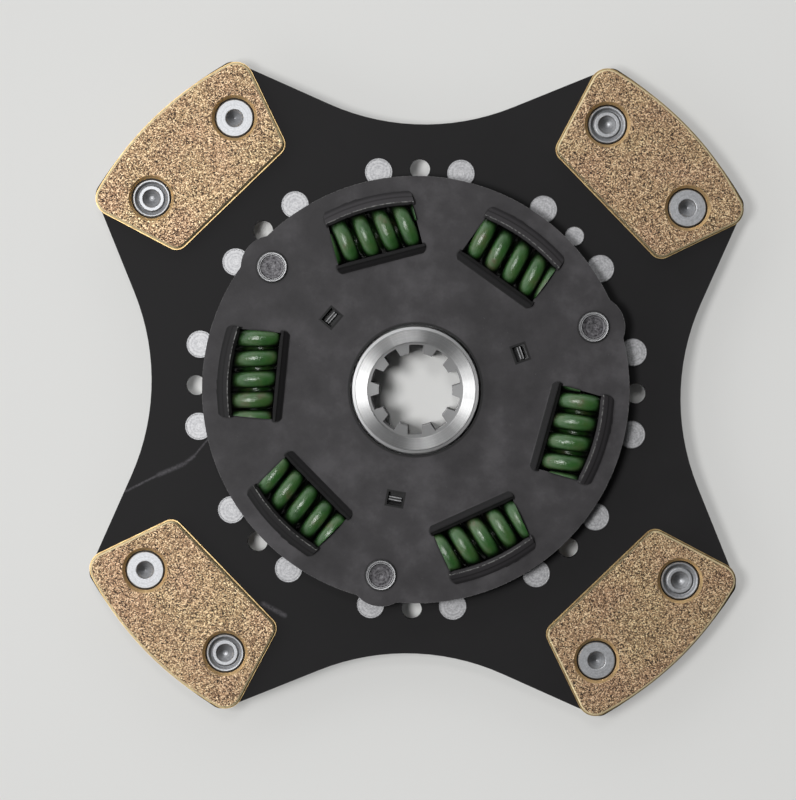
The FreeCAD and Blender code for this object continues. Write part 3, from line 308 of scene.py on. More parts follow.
# Cover and drive plate: pressed from steel sheet, with their spring windows rolled up in the
# press, and then phosphated. The stop pins hold the two together.
LIP_ROOT = 7.3            # millimetres from the springs' middle plane to where a window's lip starts
LIP_TIP = 10.05           # and to where it ends
SHADED_LIP_SIDE = (-0.87, -0.5, 0)      # towards this side of the shaft the lips get darker painted shade
LIP_SHADE_START, LIP_SHADE_FULL = 10.0, 30.0    # millimetres out where the painted shade starts, and where it covers all
COVER_RADIUS = 67.4
RIM_WIDTH = 1.0           # millimetres of the cover's rim whose corners are rubbed
EDGE_WEAR = 0.25          # millimetres of a corner that is rubbed
TIP_WEAR, TIP_FADE = 0.2, 0.15        # millimetres of a lip's tip that is rubbed, and of its fade
SLOT_CIRCLE = 35.0
SLOT_WIDTH, SLOT_DEPTH = 4.8, 4.0
SLOT_SHADE, SLOT_FADE = 0.75, 0.25    # millimetres of painted shade round a slot, and of its fade
BORE_SHADE, BORE_FADE = 21.2, 0.3     # painted shade darkens the cover this far out from the shaft
CORNER_SHADE_REACH = 1.1         # millimetres from a corner that the painted shade reaches
PHOSPHATE_CLOUD = 14.3    # millimetres across a cloud
PHOSPHATE_GRAIN = 0.625   # millimetres, coarser than the real crystals so that they show
SCUFF = 0.909             # millimetres across a scuff
HAIR = (22.2, 1.11, 2.0)  # millimetres along, across and through a fine scratch

# Phosphate: a dull dark grey, faintly clouded, with a few pale scuffs and hair scratches. It is
# rubbed to steel at the lips' tips and the cover's rim. Shade is painted on the lips and round
# the slots and the bore, and painted black in the corners.
phosphate, tree, point = new_finish("phosphated_pressed_steel")
cloud = add(tree, "TexNoise", {
    "Vector": point, "Scale": 1 / PHOSPHATE_CLOUD, "Detail": 5.0, "Roughness": 0.6,
}).outputs[0]
fine = add(tree, "TexNoise", {"Vector": point, "Scale": 1 / PHOSPHATE_GRAIN, "Detail": 4.0}).outputs[0]
tone = add(tree, "ValToRGB", {0: cloud}, stops=[
    (0.34, "#272527"), (0.5, "#343234"), (0.66, "#454345"),
]).outputs[0]
flat = add(tree, "VectorMath", {0: point, 1: (1, 1, 0)}, operation="MULTIPLY").outputs[0]
radius = add(tree, "VectorMath", {0: flat}, operation="LENGTH").outputs["Value"]
level = add(tree, "SeparateXYZ", {0: point}).outputs[2]
above = add(tree, "Math", {0: level, 1: SPRING_HEIGHT}, operation="SUBTRACT").outputs[0]
reach = add(tree, "Math", {0: above}, operation="ABSOLUTE").outputs[0]
rimward = add(tree, "Math", {0: radius, 1: SPRING_CIRCLE}, operation="GREATER_THAN").outputs[0]
# Painted shade: the lips are painted darker than the plate, darkest on the hub side and towards one side.
shadeward = add(tree, "VectorMath", {0: point, 1: SHADED_LIP_SIDE}, operation="DOT_PRODUCT").outputs["Value"]
unshaded = add(tree, "MapRange", {0: shadeward, 1: LIP_SHADE_START, 2: LIP_SHADE_FULL, 3: 1.0, 4: 0.0}).outputs[0]
lit_lip = add(tree, "Math", {0: rimward, 1: unshaded}, operation="MULTIPLY").outputs[0]
lip_shade = add(tree, "Mix", {
    0: lit_lip, 6: linear("#1f1e1f"), 7: linear("#373537"),
}, data_type="RGBA").outputs[2]
rise = add(tree, "MapRange", {0: reach, 1: LIP_ROOT, 2: LIP_TIP}).outputs[0]
# Painted shade in the lips' creases: darker at the root and along one line up the lip.
crease_shade = add(tree, "ValToRGB", {0: rise}, stops=[
    (0.0, "#808080"), (0.2, "#ffffff"), (0.4, "#ffffff"), (0.52, "#a8a8a8"), (0.64, "#ffffff"),
]).outputs[0]
lip_tone = add(tree, "Mix", {0: 1.0, 6: lip_shade, 7: crease_shade}, data_type="RGBA", blend_type="MULTIPLY").outputs[2]
on_lip = add(tree, "Math", {0: reach, 1: LIP_ROOT}, operation="GREATER_THAN").outputs[0]
scuffs = add(tree, "TexNoise", {
    "Vector": point, "Scale": 1 / SCUFF, "Detail": 5.0, "Roughness": 0.75,
}).outputs[0]
scuff_mask = add(tree, "ValToRGB", {0: scuffs}, stops=[(0.69, "#000000"), (0.74, "#ffffff")]).outputs[0]
drag = add(tree, "VectorMath", {0: point, 1: [1 / size for size in HAIR]}, operation="MULTIPLY").outputs[0]
hairs = add(tree, "TexNoise", {"Vector": drag, "Scale": 1.0, "Detail": 6.0, "Roughness": 0.8}).outputs[0]
hair_mask = add(tree, "ValToRGB", {0: hairs}, stops=[(0.68, "#000000"), (0.74, "#9a9a9a")]).outputs[0]
marks = add(tree, "Math", {0: scuff_mask, 1: hair_mask}, operation="MAXIMUM").outputs[0]
scuffed = add(tree, "Mix", {0: marks, 6: tone, 7: linear("#6e6c6c")}, data_type="RGBA").outputs[2]
lipped = add(tree, "Mix", {0: on_lip, 6: scuffed, 7: lip_tone}, data_type="RGBA").outputs[2]
worn_from = LIP_TIP - TIP_WEAR
tip = add(tree, "MapRange", {0: reach, 1: worn_from, 2: worn_from + TIP_FADE}).outputs[0]
rub = add(tree, "ValToRGB", {0: fine}, stops=[(0.4, "#000000"), (0.6, "#ffffff")]).outputs[0]
tip_rub = add(tree, "Math", {0: tip, 1: rub}, operation="MULTIPLY").outputs[0]
rounded = add(tree, "Bevel", {"Radius": EDGE_WEAR * MM}, samples=6).outputs[0]
sharp = add(tree, "NewGeometry").outputs["True Normal"]
match = add(tree, "VectorMath", {0: rounded, 1: sharp}, operation="DOT_PRODUCT").outputs["Value"]
edge = add(tree, "MapRange", {0: match, 1: 0.98, 2: 0.85}).outputs[0]
on_rim = add(tree, "Math", {0: radius, 1: COVER_RADIUS - RIM_WIDTH}, operation="GREATER_THAN").outputs[0]
rim_edge = add(tree, "Math", {0: edge, 1: on_rim}, operation="MULTIPLY").outputs[0]
rim_rub = add(tree, "Math", {0: rim_edge, 1: rub}, operation="MULTIPLY").outputs[0]
worn = add(tree, "Math", {0: tip_rub, 1: rim_rub}, operation="MAXIMUM").outputs[0]
edged = add(tree, "Mix", {0: worn, 6: lipped, 7: linear("#7e7e7c")}, data_type="RGBA").outputs[2]
on_cover = add(tree, "Math", {0: above, 1: 0.0}, operation="GREATER_THAN").outputs[0]
slotted = edged
for third in range(3):
    turn = math.radians(DAMPER_ANGLE + 120 * third)
    outward = Vector((math.cos(turn), math.sin(turn), 0))
    sideways = outward.cross((0, 0, 1))
    offset = add(tree, "VectorMath", {0: point, 1: outward * SLOT_CIRCLE}, operation="SUBTRACT").outputs[0]
    past = []
    for direction, half in ((outward, SLOT_DEPTH / 2), (sideways, SLOT_WIDTH / 2)):
        along = add(tree, "VectorMath", {0: offset, 1: direction}, operation="DOT_PRODUCT").outputs["Value"]
        size = add(tree, "Math", {0: along}, operation="ABSOLUTE").outputs[0]
        past.append(add(tree, "Math", {0: size, 1: half}, operation="SUBTRACT").outputs[0])
    margin = add(tree, "Math", {0: past[0], 1: past[1]}, operation="MAXIMUM").outputs[0]
    # Painted shade: the cover is painted near black round each slot.
    shade = add(tree, "MapRange", {
        0: margin, 1: SLOT_SHADE, 2: SLOT_SHADE - SLOT_FADE, 4: on_cover,
    }).outputs[0]
    slotted = add(tree, "Mix", {0: shade, 6: slotted, 7: linear("#050505")}, data_type="RGBA").outputs[2]
# Painted shade: the cover is painted darker close to the hub.
bore = add(tree, "MapRange", {
    0: radius, 1: BORE_SHADE, 2: BORE_SHADE + BORE_FADE, 3: 0.15, 4: 1.0,
}).outputs[0]
bore_shaded = add(tree, "VectorMath", {0: slotted, "Scale": bore}, operation="SCALE").outputs[0]
# Painted shade: the cover is darkened towards black in its corners and round the pieces on it.
corner_occlusion = add(tree, "AmbientOcclusion", {"Distance": CORNER_SHADE_REACH * MM}, samples=8).outputs["AO"]
unshaded_corner = add(tree, "ValToRGB", {0: corner_occlusion}, stops=[(0.55, "#202020"), (0.88, "#ffffff")]).outputs[0]
corner_shaded = add(tree, "Mix", {0: 1.0, 6: bore_shaded, 7: unshaded_corner}, data_type="RGBA", blend_type="MULTIPLY").outputs[2]
rough = add(tree, "MapRange", {0: cloud, 3: 0.5, 4: 0.64}).outputs[0]
grain = add(tree, "Bump", {"Height": fine, "Distance": 0.03 * MM, "Strength": 0.35}).outputs[0]
shader = add(tree, "BsdfPrincipled", {
    "Base Color": corner_shaded, "Metallic": 0.0, "Roughness": rough, "Specular IOR Level": 0.25, "Normal": grain,
})
add(tree, "OutputMaterial", {"Surface": shader.outputs[0]})
dress(["cover_plate", "drive_plate"], phosphate)

# Friction pack: moulded friction rings and a collared bush, a hardened support ring whose tabs
# show in the cover's slots, and a dished spring of hardened strip, clamped between the plates.
LINING_GRAIN = 0.5        # millimetres
STRIP_CLOUD = 1.25        # millimetres across a cloud in the strip's blued skin
TAB_CREASE = 0.28         # half the dark crease along the middle of a tab's top
TAB_LEVEL = 21.6          # millimetres, just under the top of the tabs

# Friction lining: a dry, gritty dark brown.
friction_lining, tree, point = new_finish("moulded_friction_lining")
grains = add(tree, "TexNoise", {"Vector": point, "Scale": 1 / LINING_GRAIN, "Detail": 4.0}).outputs[0]
tone = add(tree, "ValToRGB", {0: grains}, stops=[(0.35, "#262422"), (0.7, "#4a4640")]).outputs[0]
shader = add(tree, "BsdfPrincipled", {"Base Color": tone, "Roughness": 0.8})
add(tree, "OutputMaterial", {"Surface": shader.outputs[0]})
dress(["rear_friction_ring", "front_friction_ring", "centring_bush"], friction_lining)

# Hardened strip: near black from its heat treatment, with only the tabs' cut tops pale.
hardened_strip, tree, point = new_finish("hardened_steel_strip")
cloud = add(tree, "TexNoise", {"Vector": point, "Scale": 1 / STRIP_CLOUD, "Detail": 4.0}).outputs[0]
tone = add(tree, "ValToRGB", {0: cloud}, stops=[(0.3, "#6c6c6d"), (0.7, "#a3a3a4")]).outputs[0]
level = add(tree, "SeparateXYZ", {0: point}).outputs[2]
tab = add(tree, "Math", {0: level, 1: TAB_LEVEL}, operation="GREATER_THAN").outputs[0]
flat = add(tree, "VectorMath", {0: point, 1: (1, 1, 0)}, operation="MULTIPLY").outputs[0]
radius = add(tree, "VectorMath", {0: flat}, operation="LENGTH").outputs["Value"]
creased = add(tree, "Math", {0: radius, 1: SLOT_CIRCLE, 2: TAB_CREASE}, operation="COMPARE").outputs[0]
bare = add(tree, "Math", {0: tab, 1: creased}, operation="SUBTRACT", use_clamp=True).outputs[0]
blued = add(tree, "Mix", {0: bare, 6: linear("#0e0e0f"), 7: tone}, data_type="RGBA").outputs[2]
shader = add(tree, "BsdfPrincipled", {"Base Color": blued, "Metallic": 0.2, "Roughness": 0.6})
add(tree, "OutputMaterial", {"Surface": shader.outputs[0]})
dress(["support_ring", "diaphragm_spring"], hardened_strip)

# Stop pins: turned steel spacers between the plates, headed over in a press that leaves a bright
# double rim round a dished, dull grey face.
PIN_CIRCLE = 59.5
PIN_HEAD_RADIUS = 4.85
PIN_SHOULDER_RADIUS = 5.0
PIN_SHANK_RADIUS = 3.5
DRIVE_REAR, DRIVE_FRONT = 8.0, 10.5
COVER_REAR, COVER_FRONT = 20.0, 22.5
TURNED_SIDES = 96
TURNED_CORNER = 28        # degrees from which a corner looks sharp
CORNER_WIDTH = 0.06       # millimetres over which a turned corner is rounded
RING_PITCH = 0.5          # millimetres between the rings that a tool leaves, coarser than real to show
METAL_GRAIN = 0.625       # millimetres, coarser than the real matt grain so that it shows
RING_SHARE = 0.35         # how much of the marking is rings, the rest being grain
RIM_FADE = 0.1            # millimetres over which a face changes into its rim


def with_flats(profile):
    """The profile with a point close to each end of its long runs, so that they shade flat."""
    points = [profile[0]]
    for start, end in zip(profile, profile[1:]):
        length = math.dist(start, end)
        if length > 4 * CORNER_WIDTH:
            for share in (CORNER_WIDTH / length, 1 - CORNER_WIDTH / length):
                points.append(tuple(a + (b - a) * share for a, b in zip(start, end)))
        points.append(end)
    return points


def turned_pieces(name, profile, seats, node, finish):
    """Like turned pieces in one mesh: the profile's radius and height pairs, spun at each seat."""
    profile = with_flats(profile)
    points = []
    faces = []
    distances = []
    for seat in seats:
        first = len(points)
        for radius, height in profile:
            for side in range(TURNED_SIDES):
                turn = 2 * math.pi * side / TURNED_SIDES
                place = Vector((radius * math.cos(turn), radius * math.sin(turn), height))
                points.append(seat @ place * MM)
                distances.append(radius)
        for row in range(len(profile) - 1):
            for side in range(TURNED_SIDES):
                following = (side + 1) % TURNED_SIDES
                low = first + row * TURNED_SIDES
                high = low + TURNED_SIDES
                faces.append([low + side, low + following, high + following, high + side])
        last = first + (len(profile) - 1) * TURNED_SIDES
        faces.append([first + side for side in reversed(range(TURNED_SIDES))])
        faces.append([last + side for side in range(TURNED_SIDES)])
    mesh = bpy.data.meshes.new(name)
    mesh.from_pydata(points, [], faces)
    own_radius = mesh.attributes.new("own_radius", "FLOAT", "POINT")
    own_radius.data.foreach_set("value", distances)
    mesh.polygons.foreach_set("use_smooth", [True] * len(mesh.polygons))
    mesh.set_sharp_from_angle(angle=math.radians(TURNED_CORNER))
    mesh.materials.append(finish)
    piece = bpy.data.objects.new(name, mesh)
    bpy.context.scene.collection.objects.link(piece)
    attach(piece, "disc")
    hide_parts(node)


def seats_on_circle(radius, angles, turned_over_at=None):
    """Places round the shaft, upright, or turned over about a height."""
    over = Matrix.Identity(4)
    if turned_over_at is not None:
        over = Matrix.Translation((0, 0, 2 * turned_over_at)) @ Matrix.Rotation(math.pi, 4, "X")
    return [
        Matrix.Rotation(math.radians(angle), 4, "Z") @ Matrix.Translation((radius, 0, 0)) @ over
        for angle in angles
    ]


def turned_finish(name, dark, light, roughness, mark_depth, rim=None):
    """Matt metal with fine rings round each piece's own axis, and a rim's start and tone, if any."""
    finish, tree, point = new_finish(name)
    own = add(tree, "Attribute", attribute_name="own_radius").outputs["Fac"]
    feed = add(tree, "Math", {0: own, 1: 1 / RING_PITCH}, operation="MULTIPLY").outputs[0]
    rings = add(tree, "TexNoise", {"W": feed, "Scale": 1.0, "Detail": 2.0}, noise_dimensions="1D").outputs[0]
    grains = add(tree, "TexNoise", {
        "Vector": point, "Scale": 1 / METAL_GRAIN, "Detail": 4.0, "Roughness": 0.65,
    }).outputs[0]
    marking = add(tree, "Mix", {0: RING_SHARE, 2: grains, 3: rings}, data_type="FLOAT").outputs[0]
    tone = add(tree, "ValToRGB", {0: marking}, stops=[(0.38, dark), (0.62, light)]).outputs[0]
    if rim:
        start, rim_tone = rim
        beyond = add(tree, "MapRange", {0: own, 1: start, 2: start + RIM_FADE}).outputs[0]
        tone = add(tree, "Mix", {0: beyond, 6: tone, 7: linear(rim_tone)}, data_type="RGBA").outputs[2]
    rough = add(tree, "MapRange", {0: grains, 3: roughness - 0.06, 4: roughness + 0.08}).outputs[0]
    bump = add(tree, "Bump", {"Height": marking, "Distance": mark_depth * MM, "Strength": 0.7}).outputs[0]
    shader = add(tree, "BsdfPrincipled", {
        "Base Color": tone, "Metallic": 1.0, "Roughness": rough, "Normal": bump,
    })
    add(tree, "OutputMaterial", {"Surface": shader.outputs[0]})
    return finish


# The head's wall, its outer rim, the groove inside it, the inner rim and the dished face.
pin_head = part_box("stop_pins")[1].z / MM - COVER_FRONT
head_face = [
    (PIN_HEAD_RADIUS, 0.0), (PIN_HEAD_RADIUS, pin_head - 0.5), (PIN_HEAD_RADIUS - 0.12, pin_head - 0.2),
    (PIN_HEAD_RADIUS - 0.32, pin_head), (PIN_HEAD_RADIUS - 0.62, pin_head - 0.02),
    (PIN_HEAD_RADIUS - 0.78, pin_head - 0.14), (PIN_HEAD_RADIUS - 0.92, pin_head - 0.03),
    (PIN_HEAD_RADIUS - 1.12, pin_head - 0.04), (PIN_HEAD_RADIUS - 1.32, pin_head - 0.22),
    (3.0, pin_head - 0.27), (1.7, pin_head - 0.28), (0.9, pin_head - 0.31), (0.3, pin_head - 0.35),
]
front_half = [(radius, COVER_FRONT + height) for radius, height in head_face]
rear_half = [(radius, DRIVE_REAR - height) for radius, height in reversed(head_face)]
pin_profile = rear_half + [
    (PIN_SHANK_RADIUS, DRIVE_REAR), (PIN_SHANK_RADIUS, DRIVE_FRONT), (PIN_SHOULDER_RADIUS, DRIVE_FRONT),
    (PIN_SHOULDER_RADIUS, COVER_REAR), (PIN_SHANK_RADIUS, COVER_REAR), (PIN_SHANK_RADIUS, COVER_FRONT),
] + front_half

# Headed steel: a dull dark grey where the press struck it, and bright at its two rims.
pin_steel = turned_finish("headed_pin_steel", "#232224", "#5a595b", 0.45, 0.045,
                          rim=(PIN_HEAD_RADIUS - 1.1, "#808081"))
pin_angles = [DAMPER_ANGLE + 120 * third for third in range(3)]
turned_pieces("stop_pin_set", pin_profile, seats_on_circle(PIN_CIRCLE, pin_angles),
              "stop_pins", pin_steel)

# Carrier rivets: sixteen solid steel rivets, zinc-plated, which join the carrier to the drive
# plate. Their front heads are pressed thin. The balance rivet has the same plating.
RIVET_CIRCLE = 70.13
RIVET_HALF_ANGLE = 10.75  # degrees from a rivet to the balance hole between a pair
RIVET_HEAD_RADIUS = 4.45
RIVET_SHANK_RADIUS = 2.5
RIVET_FRONT_HEAD = 0.4
RIVET_REAR_HEAD = 1.2
rivet_front = CARRIER_FRONT + RIVET_FRONT_HEAD
rivet_rear = DRIVE_REAR - RIVET_REAR_HEAD
rivet_profile = [
    (0.2, rivet_rear), (RIVET_HEAD_RADIUS - 0.95, rivet_rear),
    (RIVET_HEAD_RADIUS - 0.15, DRIVE_REAR - 0.75), (RIVET_HEAD_RADIUS, DRIVE_REAR - 0.5),
    (RIVET_HEAD_RADIUS, DRIVE_REAR), (RIVET_SHANK_RADIUS, DRIVE_REAR),
    (RIVET_SHANK_RADIUS, CARRIER_FRONT), (RIVET_HEAD_RADIUS, CARRIER_FRONT),
    (RIVET_HEAD_RADIUS, rivet_front - 0.1), (RIVET_HEAD_RADIUS - 0.04, rivet_front - 0.03),
    (RIVET_HEAD_RADIUS - 0.14, rivet_front), (RIVET_HEAD_RADIUS - 0.5, rivet_front),
    (RIVET_HEAD_RADIUS - 0.58, rivet_front - 0.03), (RIVET_HEAD_RADIUS - 0.66, rivet_front),
    (0.2, rivet_front),
]

# Pressed zinc: matt and pale, with faint rings from the press and a darker edge.
rivet_zinc = turned_finish("pressed_zinc_rivet", "#747476", "#9b9b9c", 0.47, 0.02,
                           rim=(RIVET_HEAD_RADIUS - 0.25, "#59595a"))
rivet_angles = [45 * eighth + RIVET_HALF_ANGLE * side for eighth in range(8) for side in (-1, 1)]
turned_pieces("carrier_rivet_set", rivet_profile, seats_on_circle(RIVET_CIRCLE, rivet_angles),
              "carrier_rivets", rivet_zinc)
dress(["balance_rivet"], rivet_zinc)

# Backing plates and facings: bronze powder sintered onto copper-plated steel and ground level,
# with a chamfer round each facing and a ledge of the plate left bare round it.
PLATE_CLOUD = 2.0         # millimetres across a cloud in the copper plating
RECESS_GAP = 0.8          # millimetres between a rivet head and the facing round it, where shade is painted dark
PAD_RIVET_CIRCLE = 103.6
PAD_RIVET_HALF_ANGLE = 10.2
RECESS_REACH = 7.6        # millimetres from a rivet's axis to past the chamfer round it
CHAMFER_LEVEL = math.cos(math.radians(45))    # how much a chamfer faces up, where a flat has 1
GRAIN = 0.3               # millimetres across a grain of the sintered bronze
WARM_CLOUD = 16.7         # millimetres across a slightly warmer cloud in a facing

# Copper plating: a warm dull gold, with shade painted dark in the narrow gaps.
copper_plate, tree, point = new_finish("copper_plated_steel")
cloud = add(tree, "TexNoise", {"Vector": point, "Scale": 1 / PLATE_CLOUD, "Detail": 4.0}).outputs[0]
tone = add(tree, "ValToRGB", {0: cloud}, stops=[(0.3, "#8f7650"), (0.7, "#b59e70")]).outputs[0]
# Painted shade: the plating is darkened where the gaps hide it from the light.
gap_occlusion = add(tree, "AmbientOcclusion", {"Distance": RECESS_GAP * MM}, samples=8).outputs["AO"]
painted_gap_dark = add(tree, "ValToRGB", {0: gap_occlusion}, stops=[(0.45, "#0a0806"), (0.8, "#ffffff")]).outputs[0]
gap_shaded = add(tree, "Mix", {0: 1.0, 6: tone, 7: painted_gap_dark}, data_type="RGBA", blend_type="MULTIPLY").outputs[2]
shader = add(tree, "BsdfPrincipled", {"Base Color": gap_shaded, "Metallic": 0.8, "Roughness": 0.38})
add(tree, "OutputMaterial", {"Surface": shader.outputs[0]})
backings = [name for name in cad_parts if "_backing_" in name]
dress(backings, copper_plate)

# Sintered bronze: a crumb of dark brown, tan and cream grains that glints, with its chamfers
# rubbed smooth and bright, pale gold outside and browner round the rivets.
sintered_bronze, tree, point = new_finish("sintered_bronze")
crumbs = add(tree, "TexNoise", {
    "Vector": point, "Scale": 1 / GRAIN, "Detail": 3.0, "Roughness": 0.7,
}).outputs[0]
cells = add(tree, "TexVoronoi", {"Vector": point, "Scale": 1 / GRAIN, "Randomness": 1.0}).outputs["Color"]
cell = add(tree, "SeparateColor", {0: cells}).outputs[0]
drift = add(tree, "TexNoise", {"Vector": point, "Scale": 1 / WARM_CLOUD, "Detail": 2.0}).outputs[0]
mixed = add(tree, "Mix", {0: 0.75, 2: crumbs, 3: cell}, data_type="FLOAT").outputs[0]
tone = add(tree, "ValToRGB", {0: mixed}, stops=[
    (0.17, "#1f1712"), (0.31, "#634f3e"), (0.48, "#957c62"), (0.67, "#b5997a"), (0.84, "#e6d3b4"),
]).outputs[0]
warmth = add(tree, "ValToRGB", {0: drift}, stops=[(0.35, "#f6ebe4"), (0.65, "#fdfbec")]).outputs[0]
grained = add(tree, "Mix", {0: 1.0, 6: tone, 7: warmth}, data_type="RGBA", blend_type="MULTIPLY").outputs[2]
normal = add(tree, "NewGeometry").outputs["True Normal"]
upward = add(tree, "SeparateXYZ", {0: normal}).outputs[2]
level = add(tree, "Math", {0: upward}, operation="ABSOLUTE").outputs[0]
slanted = add(tree, "Math", {0: level, 1: CHAMFER_LEVEL, 2: 0.25}, operation="COMPARE").outputs[0]
# Folded about the lobes' lines of symmetry, all eight recesses fall on one place.
aside = add(tree, "VectorMath", {0: point}, operation="ABSOLUTE").outputs[0]
sides = add(tree, "SeparateXYZ", {0: aside}).outputs
far = add(tree, "Math", {0: sides[0], 1: sides[1]}, operation="MAXIMUM").outputs[0]
near = add(tree, "Math", {0: sides[0], 1: sides[1]}, operation="MINIMUM").outputs[0]
folded = add(tree, "CombineXYZ", {0: far, 1: near}).outputs[0]
recess_turn = math.radians(45 - PAD_RIVET_HALF_ANGLE)
recess = (PAD_RIVET_CIRCLE * math.cos(recess_turn), PAD_RIVET_CIRCLE * math.sin(recess_turn), 0)
from_recess = add(tree, "VectorMath", {0: folded, 1: recess}, operation="DISTANCE").outputs["Value"]
in_recess = add(tree, "Math", {0: from_recess, 1: RECESS_REACH}, operation="LESS_THAN").outputs[0]
rub_tone = add(tree, "Mix", {
    0: in_recess, 6: linear("#eedcb0"), 7: linear("#c4a678"),
}, data_type="RGBA").outputs[2]
edge_share = add(tree, "Math", {0: slanted, 1: 0.8}, operation="MULTIPLY").outputs[0]
rubbed = add(tree, "Mix", {0: edge_share, 6: grained, 7: rub_tone}, data_type="RGBA").outputs[2]
grain_rough = add(tree, "MapRange", {0: mixed, 3: 0.62, 4: 0.46}).outputs[0]
rough = add(tree, "Mix", {0: slanted, 2: grain_rough, 3: 0.3}, data_type="FLOAT").outputs[0]
metal = add(tree, "MapRange", {0: slanted, 3: 0.6, 4: 0.85}).outputs[0]
grain = add(tree, "Bump", {"Height": mixed, "Distance": 0.12 * MM, "Strength": 0.6}).outputs[0]
shader = add(tree, "BsdfPrincipled", {
    "Base Color": rubbed, "Metallic": metal, "Roughness": rough, "Normal": grain,
})
add(tree, "OutputMaterial", {"Surface": shader.outputs[0]})
facings = [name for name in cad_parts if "_facing_" in name]
dress(facings, sintered_bronze)

# Pad rivets: two of zinc-plated steel through each paddle. Half show their flat factory head
# with a drilled dimple, half the end that was rolled over against the backing plate.
CARRIER_MIDDLE = 11.5
SEAT_FRONT, SEAT_REAR = 13.5, 9.5     # the backing plates' outer faces
PAD_HEAD_RADIUS = 6.0
PAD_HEAD_HEIGHT = 1.3
PAD_SHANK_RADIUS = 3.0

# From the seat inwards: the wall, its rounded edge, the flat face and the drilled dimple.
flat_head = [
    (PAD_HEAD_RADIUS, 0.0), (PAD_HEAD_RADIUS, 0.95), (PAD_HEAD_RADIUS - 0.1, 1.16),
    (PAD_HEAD_RADIUS - 0.32, PAD_HEAD_HEIGHT), (3.0, PAD_HEAD_HEIGHT), (2.8, 1.25), (2.6, 1.06),
    (2.3, 0.8), (1.5, 0.3), (0.8, -0.1), (0.2, -0.36),
]
# The wall, the rolled rim, the groove that the tool left, the land inside it and the dimple.
rolled_head = [
    (PAD_HEAD_RADIUS, 0.0), (PAD_HEAD_RADIUS, 0.95), (PAD_HEAD_RADIUS - 0.1, 1.18),
    (PAD_HEAD_RADIUS - 0.3, PAD_HEAD_HEIGHT), (5.35, 1.28), (5.1, 1.18), (4.6, 0.78), (4.4, 0.74),
    (4.1, 0.95), (3.85, 1.03), (2.95, 1.02), (2.75, 0.92), (2.5, 0.72), (1.5, 0.25), (0.8, 0.0),
    (0.2, -0.1),
]
pad_profile = [(radius, SEAT_REAR - height) for radius, height in reversed(rolled_head)] + [
    (PAD_SHANK_RADIUS, SEAT_REAR), (PAD_SHANK_RADIUS, SEAT_FRONT),
] + [(radius, SEAT_FRONT + height) for radius, height in flat_head]

# Bright zinc: a clean pale grey that catches the light at each turned corner.
bright_zinc = turned_finish("bright_zinc_rivet", "#7e7f81", "#97989a", 0.44, 0.012)
lobe_angles = [45 + 90 * quarter for quarter in range(4)]
flat_side = [angle - PAD_RIVET_HALF_ANGLE for angle in lobe_angles]
rolled_side = [angle + PAD_RIVET_HALF_ANGLE for angle in lobe_angles]
turned_pieces("pad_rivets_flat_side", pad_profile, seats_on_circle(PAD_RIVET_CIRCLE, flat_side),
              "pad_rivets_head_front", bright_zinc)
turned_pieces("pad_rivets_rolled_side", pad_profile,
              seats_on_circle(PAD_RIVET_CIRCLE, rolled_side, turned_over_at=CARRIER_MIDDLE),
              "pad_rivets_head_rear", bright_zinc)

# Floor: a matt table top, which carries the disc's soft shadow. Under the disc it is painted white,
# as painted light that shows through the disc's holes, and elsewhere grey, with a glow for the camera and
# reflections only.
DISC_REACH = 82.0         # millimetres, inside the carrier plate's narrowest place
FLOOR_REACH = 4.0         # metres
floor_grey, tree, point = new_finish("pale_matt_table")
distance = add(tree, "VectorMath", {0: point}, operation="LENGTH").outputs["Value"]
beyond = add(tree, "Math", {0: distance, 1: DISC_REACH}, operation="GREATER_THAN").outputs[0]
# Painted light: the table is white under the disc, where its shadow falls, and grey beyond.
table_and_painted_light = add(tree, "Mix", {
    0: beyond, 6: linear("#fbfbf9"), 7: linear("#b1b1af"),
}, data_type="RGBA").outputs[2]
matt = add(tree, "BsdfPrincipled", {"Base Color": table_and_painted_light, "Roughness": 0.9, "Specular IOR Level": 0.2})
rays = add(tree, "LightPath").outputs
seen = add(tree, "Math", {0: rays["Is Camera Ray"], 1: rays["Is Glossy Ray"]}, operation="MAXIMUM").outputs[0]
lifted = add(tree, "Math", {0: beyond, 1: seen}, operation="MULTIPLY").outputs[0]
glow_strength = add(tree, "Math", {0: lifted, 1: 0.3}, operation="MULTIPLY").outputs[0]
glow = add(tree, "Emission", {"Color": linear("#fdfdfb"), "Strength": glow_strength}).outputs[0]
lit_board = add(tree, "AddShader", {0: matt.outputs[0], 1: glow}).outputs[0]
add(tree, "OutputMaterial", {"Surface": lit_board})
corners = [(FLOOR_REACH * x, FLOOR_REACH * y, 0) for x, y in ((-1, -1), (1, -1), (1, 1), (-1, 1))]
floor_mesh = bpy.data.meshes.new("floor")
floor_mesh.from_pydata(corners, [], [(0, 1, 2, 3)])
floor_mesh.materials.append(floor_grey)
floor = bpy.data.objects.new("floor", floor_mesh)
bpy.context.scene.collection.objects.link(floor)

# Light: a soft lamp at the left, a weaker one at the top, and a plain room that is bright
# towards its left wall and dim overhead. The camera sees the room as one pale wall.
BRIGHT_WALL = (-0.87, 0.5, 0)
world = bpy.data.worlds.new("studio")
bpy.context.scene.world = world
world.use_nodes = True
tree = world.node_tree
tree.nodes.clear()
towards = add(tree, "TexCoord").outputs["Generated"]
height = add(tree, "SeparateXYZ", {0: towards}).outputs[2]
overhead = add(tree, "ValToRGB", {0: height}, stops=[
    (0.0, "#ffffff"), (0.55, "#f4f5f7"), (0.8, "#3c3d3f"),
]).outputs[0]
wallward = add(tree, "VectorMath", {0: towards, 1: BRIGHT_WALL}, operation="DOT_PRODUCT").outputs["Value"]
strength = add(tree, "MapRange", {0: wallward, 1: -0.8, 2: 0.9, 3: 0.05, 4: 1.5}).outputs[0]
room = add(tree, "Background", {"Color": overhead, "Strength": strength}).outputs[0]
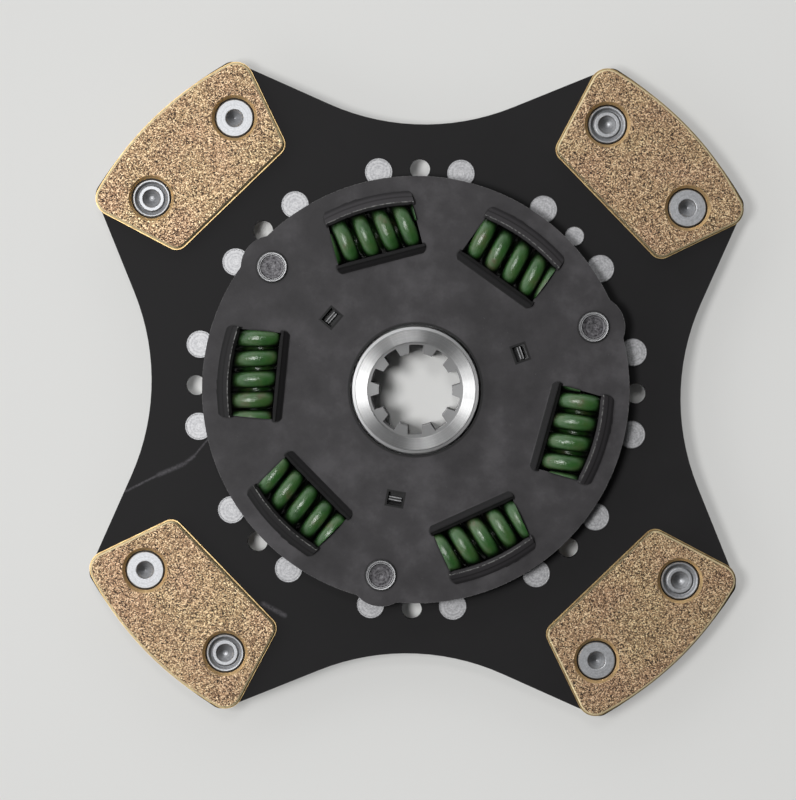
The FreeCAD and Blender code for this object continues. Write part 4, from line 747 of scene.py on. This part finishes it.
wall = add(tree, "Background", {"Color": linear("#e4e4e2"), "Strength": 1.0}).outputs[0]
to_camera = add(tree, "LightPath").outputs["Is Camera Ray"]
studio = add(tree, "MixShader", {0: to_camera, 1: room, 2: wall}).outputs[0]
add(tree, "OutputWorld", {"Surface": studio})


def lamp(name, place, size, power):
    """A soft rectangular lamp aimed at the disc: place and size in metres, power in watts."""
    data = bpy.data.lights.new(name, "AREA")
    data.shape = "RECTANGLE"
    data.size, data.size_y = size
    data.energy = power
    light = bpy.data.objects.new(name, data)
    light.location = place
    light.rotation_euler = (-Vector(place)).to_track_quat("-Z", "Y").to_euler()
    bpy.context.scene.collection.objects.link(light)


lamp("left_lamp", (-0.235, 0.0, 0.95), (0.2, 0.18), 4.8)
lamp("top_lamp", (-0.06, 0.26, 0.95), (0.13, 0.13), 1.1)

# Camera: looks almost straight down from a metre away, a little off the disc's axis and leaning
# a degree, which is how the photograph was framed.
IMAGE_HEIGHT = 800        # pixels
SENSOR_SIZE = 36.0
PIXELS_PER_MM = 3.138     # at the middle of the carrier plate
CAMERA_DISTANCE = 1000.0
CAMERA_ASIDE = (7.1, 16.8)
CAMERA_LEAN = (1.15, -0.75)   # degrees
CAMERA_TURN = 1.084       # degrees
camera_data = bpy.data.cameras.new("camera")
camera_data.sensor_width = SENSOR_SIZE
camera_data.lens = PIXELS_PER_MM * CAMERA_DISTANCE * SENSOR_SIZE / IMAGE_HEIGHT
camera = bpy.data.objects.new("camera", camera_data)
place = Vector((*CAMERA_ASIDE, CARRIER_MIDDLE + CAMERA_DISTANCE)) * MM
turned = Matrix.Rotation(math.radians(CAMERA_TURN), 4, "Z")
leaning_back = Matrix.Rotation(math.radians(-CAMERA_LEAN[0]), 4, "X")
leaning_over = Matrix.Rotation(math.radians(-CAMERA_LEAN[1]), 4, "Y")
camera.matrix_world = Matrix.Translation(place) @ turned @ (leaning_back @ leaning_over)
bpy.context.scene.collection.objects.link(camera)
bpy.context.scene.camera = camera
bpy.context.scene.view_settings.view_transform = "Standard"
